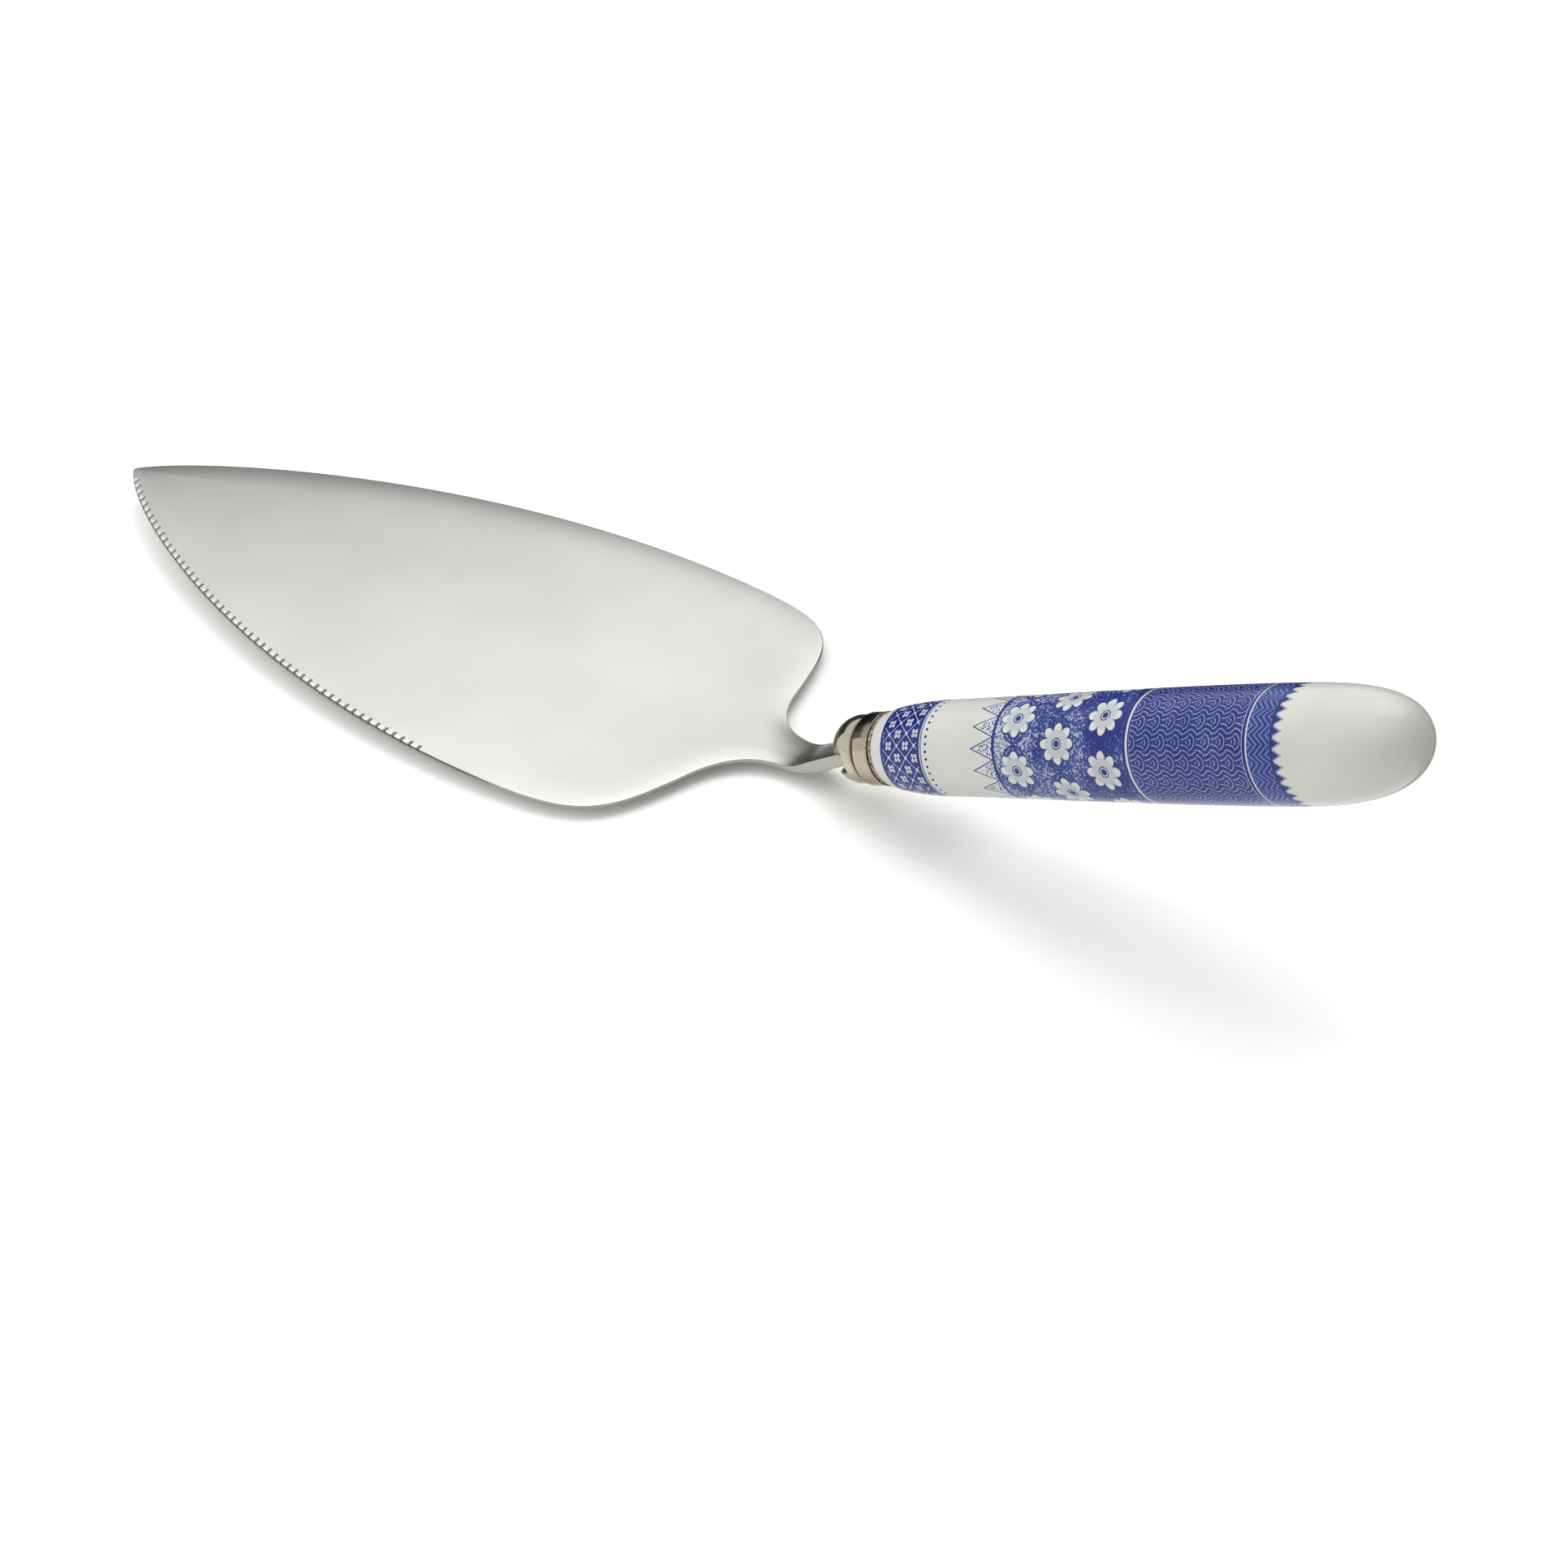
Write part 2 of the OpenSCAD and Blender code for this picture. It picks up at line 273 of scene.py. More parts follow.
def serrated_edge():
    """The long edge from the sharp tip to the widest section, as fine points, and the lengths along it."""
    tip = np.array([-TIP_REACH, 0.0])
    widest = np.array([0.0, HALF_W])
    pulls = [tip + toward(TIP_ANGLE, TIP_PULL * TIP_REACH), widest - [EDGE_PULL * TIP_REACH, 0]]
    edge = bezier([tip, *pulls, widest], LONG_STEPS)
    return edge, lengths_along(edge)


def edge_rows(reach):
    """Lengths along the edge at which the blade has a section, each with its place down a groove's ramp."""
    count = math.floor((SERRATED_SHARE * reach - GROOVE_LEAD) / GROOVE_PITCH) + 1
    rows = [(at, 0) for at in np.linspace(0, GROOVE_LEAD - GROOVE_RAMP_W, TURN_STEPS)[:-1]]
    for k in range(count):
        wall = GROOVE_LEAD + k * GROOVE_PITCH
        shares = [j / GROOVE_RAMP_STEPS for j in range(GROOVE_RAMP_STEPS + 1)]
        rows += [(wall - GROOVE_RAMP_W * (1 - share), share) for share in shares]
        rows.append((wall + GROOVE_WALL_W, 0))
    rest = np.linspace(rows[-1][0], reach, TURN_STEPS)[1:]
    return rows + [(at, 0) for at in rest]


def half_plan():
    """The blade's outline on the +Y side, from the rounded tip to the tang's end."""
    edge, along = serrated_edge()
    heel_end = HEEL + toward(-HEEL_ANGLE, HEEL_STRAIGHT)
    tang = np.array([on_axis(TANG_S, 0)[0], TANG_HALF_W])
    tang_end = np.array([on_axis(TANG_S + TANG_LEN, 0)[0], TANG_HALF_W])
    fillet, neck = NECK[0] - heel_end[0], tang[0] - NECK[0]
    slope = np.array([1, (tang[1] - NECK[1]) / neck * NECK_SLOPE])
    turn_off = TIP_ROUND / math.tan(math.radians(TIP_ANGLE))
    nose = edge[0] + [TIP_ROUND / math.sin(math.radians(TIP_ANGLE)), 0]
    rows = [row for row in edge_rows(along[-1]) if row[0] > turn_off]
    side = np.array([[np.interp(at, along, c) for c in edge.T] for at, _ in rows])
    shoulder_end = HEEL - toward(-HEEL_ANGLE, HEEL_PULL * (HALF_W - HEEL[1]))
    shoulder = bezier([edge[-1], edge[-1] + [SHOULDER_PULL * HEEL[0], 0], shoulder_end, HEEL], SHORT_STEPS)
    fillet_start = heel_end + toward(-HEEL_ANGLE, FILLET_PULLS[0] * fillet)
    straight = np.linspace(HEEL, heel_end, TURN_STEPS)
    hollow = bezier([heel_end, fillet_start, NECK - slope * FILLET_PULLS[1] * fillet, NECK], SHORT_STEPS)
    tang_pull = tang + NECK_PULL * np.array([-neck, NECK[1] - tang[1]])
    taper = bezier([NECK, NECK + slope * NECK_PULL * neck, tang_pull, tang], SHORT_STEPS)
    run = np.linspace(tang, tang_end, TURN_STEPS)
    tip = arc(nose, TIP_ROUND, 180, 90 + TIP_ANGLE)
    parts = [tip, side, shoulder[1:], straight[1:], hollow[1:], taper[1:], run[1:]]
    ramps = np.zeros(sum(len(part) for part in parts))
    ramps[len(tip) : len(tip) + len(rows)] = [share for _, share in rows]
    return np.concatenate(parts), ramps


def side_lines():
    """The underside and the top of the blade, as points of X and Z from the tip to the tang's end. The top
    sweeps up to the neck in a curve, and the underside lifts in one flat facet."""
    slope = np.array([1, HEEL_LIFT / (NECK[0] - SWEEP_X)])
    lines = []
    for rise, half_t, run in ((0, -NECK_T / 2, NECK_UNDER_RUN), (BLADE_T, NECK_T / 2, NECK_TOP_RUN)):
        start = np.array([SWEEP_X, rise])
        heel = np.array([NECK[0], rise + HEEL_LIFT])
        tang = on_axis(TANG_S, half_t)
        neck = tang - toward(NECK_ANGLE, run)
        reach, bend = heel[0] - start[0], neck[0] - heel[0]
        pulls = [start + [SWEEP_PULLS[0] * reach, 0], heel - slope * SWEEP_PULLS[1] * reach]
        sweep = bezier([start, *pulls, heel], SHORT_STEPS) if rise else np.array([start, heel])
        turn_end = neck - toward(NECK_ANGLE, BEND_PULLS[1] * bend / math.cos(math.radians(NECK_ANGLE)))
        turn = bezier([heel, heel + slope * BEND_PULLS[0] * bend, turn_end, neck], SHORT_STEPS)
        far = on_axis(TANG_S + TANG_LEN + NECK_T, half_t)
        lines.append(np.concatenate([[[-TIP_REACH, rise]], sweep, turn[1:], [tang, far]]))
    return lines


def groove_drop(share_down, inset):
    """How far a groove lowers the top, by the place down its ramp and the distance in from the edge, and the
    share of the groove that this is."""
    share_in = min(1, inset / GROOVE_RUN)
    depth = GROOVE_EDGE_DEPTH + (GROOVE_INNER_DEPTH - GROOVE_EDGE_DEPTH) * share_in
    end = math.sqrt(1 - share_in**GROOVE_END_CURVE)
    return depth * end * share_down ** (GROOVE_CURVE * (1 + share_in)), end * share_down


def roll_drop(inset):
    """How far the top rolls off towards the edge."""
    return ROLL_DROP * max(0, 1 - inset / ROLL_W) ** ROLL_CURVE


def make_blade():
    """The blade as a row of closed sections from the tip to the tang's end. Where the edge is serrated, their
    ends lie square to the length, as the grooves do."""
    plan, ramps = half_plan()
    under, top = side_lines()
    along = lengths_along(plan)
    tangent = np.gradient(plan, along, axis=0)
    tangent[0] = (0, 1)
    tangent /= np.linalg.norm(tangent, axis=1)[:, None]
    inward = np.stack([tangent[:, 1], -tangent[:, 0]], axis=1)
    grooves_end = along[np.nonzero(ramps)[0][-1]]
    fade = np.clip(np.minimum(along / GROOVE_LEAD, 1 + (grooves_end - along) / SLANT_FADE), 0, 1)
    slant = fade * tangent[:, 1] / np.maximum(tangent[:, 0], SLANT_LIMIT)
    room = INSET_WIDTH_SHARE * plan[:, 1] / np.maximum(-inward[:, 1], INSET_WIDTH_SHARE)
    turns = np.linspace(0, math.pi / 2, RIM_STEPS + 1)
    rim = [(EDGE_ROUND * (1 - math.sin(turn)), EDGE_ROUND * (1 - math.cos(turn))) for turn in turns]

    def place(i, inset, hand):
        """The point of a section that lies that far in from the edge, on the +Y or -Y hand."""
        lean = slant[i] * min(inset, GROOVE_RUN) if hand < 0 else 0
        x, y = plan[i] + inward[i] * inset - tangent[i] * lean
        return x, hand * y

    def inset_of(i, distance):
        """A distance in from the edge, drawn in where the blade is narrow."""
        return room[i] * (1 - math.exp(-distance / room[i])) if room[i] > 0 else 0

    def half_section(i, hand):
        """The top and the underside, each from the inside out, with each point's groove mark."""
        ramp = ramps[i] if hand < 0 else 0
        tops, unders = [], []
        for distance in reversed(TOP_INSETS):
            inset = inset_of(i, distance)
            x, y = place(i, inset, hand)
            drop, mark = groove_drop(ramp, inset)
            tops.append((x, y, np.interp(x, *top.T) - roll_drop(inset) - drop, mark))
        for distance in reversed(UNDER_INSETS):
            x, y = place(i, inset_of(i, distance), hand)
            unders.append((x, y, np.interp(x, *under.T), 0))
        for distance, fall in rim:
            inset = min(distance, inset_of(i, TOP_INSETS[0]))
            x, y = place(i, inset, hand)
            drop, mark = groove_drop(ramp, inset)
            tops.append((x, y, np.interp(x, *top.T) - roll_drop(inset) - drop - fall, mark))
            unders.append((x, y, np.interp(x, *under.T) + fall, 0))
        return tops, unders

    def section(i):
        """One closed section: over the top from +Y to -Y, round the edge, and back underneath."""
        (top_far, under_far), (top_near, under_near) = half_section(i, 1), half_section(i, -1)
        shares = np.linspace(0, 1, INNER_COLUMNS + 2)[1:-1, None]
        across_top = np.array(top_far[0]) * (1 - shares) + np.array(top_near[0]) * shares
        across_under = np.array(under_near[0]) * (1 - shares) + np.array(under_far[0]) * shares
        over = top_far[::-1] + [tuple(p) for p in across_top] + top_near
        return over + under_near[::-1] + [tuple(p) for p in across_under] + under_far

    sections = [section(i) for i in range(len(plan))]
    n = len(sections[0])
    points = np.array([point for row in sections for point in row])
    faces = skin(len(sections), n, False)
    faces.append(tuple(range(len(points) - n, len(points))))
    return make_object("blade_plate", points[:, :3], faces, list(points[:, 3]))


# Cap, collar, bead and handle


def nose_curve(start, length, radius):
    """An elliptical nose, from the axis to its full radius."""
    turns = np.linspace(0, math.pi / 2, 2 * TURN_STEPS + 1)
    return [(start + length * (1 - math.cos(t)), radius * math.sin(t)) for t in turns]


def make_cap():
    """The cap: a hollow nose, drawn in a little at its seam, with a slot across it for the neck. It goes a
    little way into the collar."""
    seam_r = CAP_R - CAP_CURL
    shares = np.linspace(0, 1, TURN_STEPS + 1)[1:]
    curl_len = SEAM_S - CAP_S - NOSE_LEN
    curl = [(CAP_S + NOSE_LEN + curl_len * share, CAP_R - CAP_CURL * share**2) for share in shares]
    lip = arc((LIP_S - LIP_ROUND, seam_r - LIP_ROUND), LIP_ROUND, 90, 0)
    inside = nose_curve(CAP_S + CAP_WALL, NOSE_LEN - CAP_WALL, CAP_R - CAP_WALL)
    outside = [*nose_curve(CAP_S, NOSE_LEN, CAP_R), *curl, *lip]
    cap = revolve("nose_cap", [tuple(p) for p in (*outside, (LIP_S, CAP_R - CAP_WALL), *inside[::-1])])
    lean = math.radians(NECK_ANGLE - AXIS_ANGLE)
    half_t = NECK_T / 2 / math.cos(lean)
    heights = (-half_t - SLOT_GAPS[0], half_t + SLOT_GAPS[1])
    corners = [
        axis_point(s, (s - TANG_S) * math.tan(lean) + h, y)
        for s in (CAP_S - NOSE_LEN, CAP_S + SLOT_LEN)
        for h in heights
        for y in (-COLLAR_R, COLLAR_R)
    ]
    quads = [(0, 1, 3, 2), (4, 6, 7, 5), (0, 4, 5, 1), (2, 3, 7, 6), (0, 2, 6, 4), (1, 5, 7, 3)]
    cut(cap, make_object("slot_cutter", corners, quads))
    return cap


def make_collar():
    """The collar: a ring with a rounded front edge and a raised rim round its rear end."""
    bore = COLLAR_R - COLLAR_WALL
    front = arc((SEAM_S + COLLAR_ROUND, COLLAR_R - COLLAR_ROUND), COLLAR_ROUND, 180, 90)
    rim = arc((RIM_S - RIM_R, COLLAR_R), RIM_R, 180, 0)
    hole = CAP_R - CAP_CURL
    profile = [(SEAM_S, hole), *front, *rim, (RIM_S, bore), (LIP_S, bore), (LIP_S, hole)]
    return revolve("collar_ring", [tuple(p) for p in profile])


def make_bead():
    """The gritty ring of cement that has squeezed out between the collar and the porcelain."""
    grit = np.random.default_rng(GRIT_SEED).normal(0, BEAD_GRIT, (AROUND, TURN_STEPS + 1))
    shares = np.linspace(0, 1, TURN_STEPS + 1)
    bulge = BEAD_H * np.sin(math.pi * shares) ** BEAD_CURVE + grit
    bulge[:, [0, -1]] = 0
    stations = RIM_S + shares * (MOUTH_S - RIM_S)
    rows = [
        [axis_point(s, r * math.cos(turn), r * math.sin(turn)) for s, r in zip(stations, SPIGOT_R + row)]
        for turn, row in zip(TURNS, bulge)
    ]
    return wrap("cement_ring", rows)


def handle_profile():
    """The handle's closed profile: spigot, shoulder, side, butt, and the hollow inside."""
    slope = np.array([1, (BELLY_R - WAIST_R) / (BELLY_S - WAIST_S)])
    mouth, waist, belly = (np.array(p) for p in ((MOUTH_S, MOUTH_R), (WAIST_S, WAIST_R), (BELLY_S, BELLY_R)))
    shoulder_len, side_len, butt_len = WAIST_S - MOUTH_S, BELLY_S - WAIST_S, BUTT_S - BELLY_S
    shoulder_pulls = [
        mouth + toward(SHOULDER_ANGLE, SHOULDER_PULLS[0] * shoulder_len),
        waist - slope * SHOULDER_PULLS[1] * shoulder_len,
    ]
    side_pulls = [waist + slope * SIDE_PULL * side_len, belly - [SIDE_PULL * side_len, 0]]
    shoulder = bezier([mouth, *shoulder_pulls, waist], SHORT_STEPS)
    side = bezier([waist, *side_pulls, belly], SHORT_STEPS)

    def butt(length, r):
        pulls = [(BELLY_S + BUTT_PULLS[0] * length, r), (BELLY_S + length, BUTT_PULLS[1] * r)]
        return bezier([(BELLY_S, r), *pulls, (BELLY_S + length, 0)], SHORT_STEPS)

    inner_butt = butt(butt_len - BUTT_WALL, BELLY_R - HANDLE_WALL)[::-1]
    inner_side = (side - [0, HANDLE_WALL])[::-1]
    spigot = [(SPIGOT_S, BORE_R), (SPIGOT_S, SPIGOT_R), (MOUTH_S, SPIGOT_R)]
    outside = [*shoulder, *side[1:], *butt(butt_len, BELLY_R)[1:]]
    return [*spigot, *outside, *inner_butt, *inner_side[1:], (THROAT_S, BORE_R)]


def make_handle():
    """The porcelain handle, whose rounded end is raised a little above the axis."""

    def place(s, h, y):
        return axis_point(s, h + BUTT_RISE * (max(0, s - BELLY_S) / BUTT_RISE_LEN) ** 2, y)

    return revolve("porcelain_handle", [tuple(p) for p in handle_profile()], place)


# Shader arithmetic


def feed(tree, socket, value):
    """Links a wire to a socket, or sets a plain number on it."""
    if isinstance(value, Wire):
        tree.links.new(value.socket, socket)
    else:
        socket.default_value = value


class Wire:
    """A number that varies over a surface: the output of a shader node, with plain arithmetic."""

    def __init__(self, tree, socket):
        self.tree = tree
        self.socket = socket

    def math(self, operation, *values):
        node = self.tree.nodes.new("ShaderNodeMath")
        node.operation = operation
        for socket, value in zip(node.inputs, values):
            feed(self.tree, socket, value)
        return Wire(self.tree, node.outputs[0])

    def __add__(self, other):
        return self.math("ADD", self, other)

    def __radd__(self, other):
        return self.math("ADD", other, self)

    def __sub__(self, other):
        return self.math("SUBTRACT", self, other)

    def __rsub__(self, other):
        return self.math("SUBTRACT", other, self)

    def __mul__(self, other):
        return self.math("MULTIPLY", self, other)

    def __rmul__(self, other):
        return self.math("MULTIPLY", other, self)

    def __truediv__(self, other):
        return self.math("DIVIDE", self, other)

    def __abs__(self):
        return self.math("ABSOLUTE", self)

    def sin(self):
        return self.math("SINE", self)

    def cos(self):
        return self.math("COSINE", self)

    def root(self):
        return self.math("SQRT", self)

    def power(self, exponent):
        return self.math("POWER", self, exponent)

    def floor(self):
        return self.math("FLOOR", self)

    def part(self):
        """What is left after whole numbers are taken away."""
        return self.math("FRACT", self)

    def turn_from(self, other):
        """The angle of the point whose second coordinate is this and whose first is the other."""
        return self.math("ARCTAN2", self, other)

    def least(self, other):
        return self.math("MINIMUM", self, other)

    def most(self, other):
        return self.math("MAXIMUM", self, other)

    def step(self, low, high):
        """Goes smoothly from 0 at low to 1 at high."""
        node = self.tree.nodes.new("ShaderNodeMapRange")
        node.interpolation_type = "SMOOTHSTEP"
        for socket, value in zip(node.inputs, (self, low, high)):
            feed(self.tree, socket, value)
        return Wire(self.tree, node.outputs[0])

    def below(self, limit, soft):
        """1 where this is under the limit and 0 above it, with a soft border."""
        return (self - limit).step(soft, -soft)

    def within(self, low, high, soft):
        return (self - low).step(-soft, soft) * self.below(high, soft)


def new_material(name):
    """An empty node material, its tree and its Principled shader."""
    material = bpy.data.materials.new(name)
    material.use_nodes = True
    tree = material.node_tree
    return material, tree, tree.nodes["Principled BSDF"]


def place_of(tree):
    """The point on the object, in metres."""
    return tree.nodes.new("ShaderNodeTexCoord").outputs["Object"]


def along(tree, direction, start=0.0):
    """Distance in millimetres along a direction, from a start."""
    node = tree.nodes.new("ShaderNodeVectorMath")
    node.operation = "DOT_PRODUCT"
    tree.links.new(place_of(tree), node.inputs[0])
    node.inputs[1].default_value = tuple(c / MM for c in direction)
    return Wire(tree, node.outputs["Value"]) - start


def stretched(tree, scale):
    """The point on the object in millimetres, stretched by a scale along each axis."""
    node = tree.nodes.new("ShaderNodeVectorMath")
    node.operation = "MULTIPLY"
    tree.links.new(place_of(tree), node.inputs[0])
    node.inputs[1].default_value = tuple(c / MM for c in scale)
    return node.outputs["Vector"]


def noise(tree, scale, detail=2.0):
    """A soft noise from 0 to 1, with that many features per millimetre along each axis."""
    node = tree.nodes.new("ShaderNodeTexNoise")
    node.inputs["Scale"].default_value = 1
    node.inputs["Detail"].default_value = detail
    tree.links.new(stretched(tree, scale), node.inputs["Vector"])
    return Wire(tree, node.outputs["Fac"])


def cells(tree, scale):
    """Distance to the nearest of a scatter of points, that many to the millimetre."""
    node = tree.nodes.new("ShaderNodeTexVoronoi")
    node.inputs["Scale"].default_value = 1
    tree.links.new(stretched(tree, (scale,) * 3), node.inputs["Vector"])
    return Wire(tree, node.outputs["Distance"])


def mix_colours(tree, share, first, second):
    """A blend of two colours, each a tuple or a colour socket."""
    node = tree.nodes.new("ShaderNodeMix")
    node.data_type = "RGBA"
    feed(tree, node.inputs["Factor"], share)
    for socket, colour in zip((node.inputs[6], node.inputs[7]), (first, second)):
        if isinstance(colour, tuple):
            socket.default_value = (*colour, 1)
        else:
            tree.links.new(colour, socket)
    return node.outputs[2]


def bump(tree, shader, height, distance):
    """Bumps a shader's normal by a height that varies, over a distance in millimetres."""
    node = tree.nodes.new("ShaderNodeBump")
    node.inputs["Distance"].default_value = distance * MM
    feed(tree, node.inputs["Height"], height)
    tree.links.new(node.outputs["Normal"], shader.inputs["Normal"])


# Steel: its colours, among them painted shade for the grooves and painted dark reflections for the neck and
# some edges
STEEL = (0.70, 0.695, 0.672)
STEEL_WORN = (0.655, 0.65, 0.625)
SHEARED_LIGHT = (0.36, 0.355, 0.335)
SHEARED_DARK = (0.29, 0.285, 0.265)
EDGE_DARK_REFLECTION = (0.11, 0.11, 0.10)
NECK_SIDE = (0.385, 0.375, 0.35)
NECK_TOP_REFLECTION = (0.28, 0.275, 0.25)
NECK_FOOT_REFLECTION = (0.21, 0.208, 0.192)
GROOVE_GRIND_AND_SHADE = (0.16, 0.16, 0.148)
GROOVE_ROOT_SHADE = (0.025, 0.025, 0.022)

# Steel: features per millimetre of its noises, and what they are worth
BRUSH_GRAIN = (0.25, 9.0, 9.0)
WEAR_GRAIN = (0.05, 0.05, 0.05)
SHEAR_GRAIN = (7.0, 7.0, 0.8)
WEAR_TONES = (0.3, 0.75)
SHEAR_TONES = (0.35, 0.65)
STEEL_ROUGH = 0.30
BRUSH_ROUGH = 0.05
POLISH_ROUGH = 0.12
SHEARED_ROUGH = 0.1
STEEL_BUMP = 0.004
POLISH_SMOOTH = 0.8
SHEAR_DEPTH = 4

# Steel: between which X, Y, Z, shares down a groove or shares of facing up its finish, its painted shade and
# its painted dark reflections change
POLISH_X = (40.0, 50.0)
NECK_TOP_X = (37.0, 48.0)
NECK_SIDE_X = (30.0, 44.0)
FOOT_DIRECTION = (1.0, 0.77, 0.0)
FOOT_REACH = (32.5, 41.5)
FOOT_END_X = (41.5, 39.0)
FOOT_SIDE_Y = (8.0, 4.0)
EDGE_LINE_END_X = (8.0, 0.0)
EDGE_LINE_Y = (0.0, -1.0)
EDGE_LINE_Z = (0.3, 0.5)
GROOVE_SHADE_SHARES = (0.0, 0.45)
ROOT_SHARES = (0.45, 0.8)
SHEARED_LEVELS = (0.7, 0.4)
CORNER_LEVELS = (0.35, 0.85)
CORNER_SOFT = 0.1
CORNER_START_X = (37.0, 42.0)
CORNER_END_X = (51.0, 49.0)

# White metal: its colours, its noises and what they are worth
WHITE_METAL = (0.48, 0.45, 0.36)
TARNISH = (0.24, 0.19, 0.11)
RIM_TAN = (0.30, 0.235, 0.15)
COLLAR_TOP_REFLECTION = (0.052, 0.046, 0.034)
DIRT_AND_SHADE = (0.045, 0.035, 0.02)
PATCH_GRAIN = (0.4, 0.4, 0.4)
SCRATCH_GRAIN = (12.0, 1.2, 1.2)
TARNISH_TONES = (0.45, 0.75)
TARNISH_SHARE = 0.35
METAL_ROUGH = 0.06
PATCH_ROUGH = 0.06
SCRATCH_ROUGH = 0.04
SEAM_DARK_ROUGH = 0.3
METAL_BUMP = 0.008
SCRATCH_DEPTH = 0.25

# White metal: where its finish, its painted dark reflection and its painted shade change, by height above the
# axis or distance from the seam or the rim's end
COLLAR_TARNISH = 0.3
DARK_REFLECTION_HEIGHTS = (3.7, 4.0)
DARK_REFLECTION_WANDER = 2.2
DARK_REFLECTION_SHARE = 0.9
DARK_REFLECTION_FADE = 0.65
DARK_REFLECTION_FADE_REACH = (1.8, 0.9)
RIM_SHARE = 0.7
RIM_REACH = (0.35, 0.2)
SEAM_SOFT = 0.1
SEAM_DARK_SHARE = 0.9
SEAM_DARK_REACH = 0.36
SEAM_DARK_END = 0.12
SEAM_DARK_WANDER = 0.6
SEAM_DARK_LEAST = 0.35
SEAM_DARK_HEIGHTS = (-2.0, 2.0)
INSIDE_SHARES = (0.97, 0.93)

# Cement
CEMENT_LIGHT = (0.50, 0.47, 0.38)
CEMENT_DARK = (0.05, 0.045, 0.035)
CEMENT_GLINT = (0.85, 0.84, 0.78)
GRAINS_PER_MM = 4.0
GLINTS_PER_MM = 2.6
GLINT_R = 0.16
GLINT_SOFT = 0.06
DIRT_GRAIN = (0.8, 0.8, 0.8)
PIT_WEIGHTS = (0.9, 0.6)
PIT_TONES = (0.6, 1.0)
CEMENT_ROUGH = 0.6
DIRT_ROUGH = 0.25
CEMENT_BUMP = 0.04
CORE_LIGHT = (0.40, 0.38, 0.34)
CORE_DARK = (0.24, 0.225, 0.20)
SAND_PER_MM = 1.6
SAND_TONES = (0.2, 0.7)
CORE_ROUGH = 0.8
SAND_ROUGH = 0.15
CORE_BUMP = 0.1

# Porcelain
GLAZE = (0.665, 0.665, 0.62)
GLAZE_GREY = (0.61, 0.615, 0.57)
BLUE_DARK = (0.006, 0.019, 0.18)
BLUE_MID = (0.09, 0.15, 0.38)
CLOUD_GRAIN = (0.06, 0.06, 0.06)
RIPPLE_GRAIN = (0.12, 0.12, 0.12)
CLOUD_TONES = (0.35, 0.7)
MID_TONES = (0.0, 0.55)
DARK_TONES = (0.45, 1.0)
GLAZE_ROUGH = 0.17
CLOUD_ROUGH = 0.06
GLAZE_SPECULAR = 0.3
GLAZE_BUMP = 0.05


def facing_up(tree):
    """How much the surface faces up or down, from 0 on upright faces to 1 on level ones."""
    split = tree.nodes.new("ShaderNodeSeparateXYZ")
    tree.links.new(tree.nodes.new("ShaderNodeNewGeometry").outputs["Normal"], split.inputs[0])
    return abs(Wire(tree, split.outputs["Z"]))


def down_groove(tree):
    """How far down a groove the surface lies, from 0 to 1."""
    mark = tree.nodes.new("ShaderNodeAttribute")
    mark.attribute_name = GROOVE_MARK
    return Wire(tree, mark.outputs["Fac"])


def axis_place(tree):
    """Station along the handle's axis, height above it and distance across it, in millimetres."""
    station = along(tree, AXIS_DIR, AXIS_DIR.dot(AXIS_FROM))
    up = along(tree, AXIS_UP, AXIS_UP.dot(AXIS_FROM))
    return station, up, along(tree, (0, 1, 0))


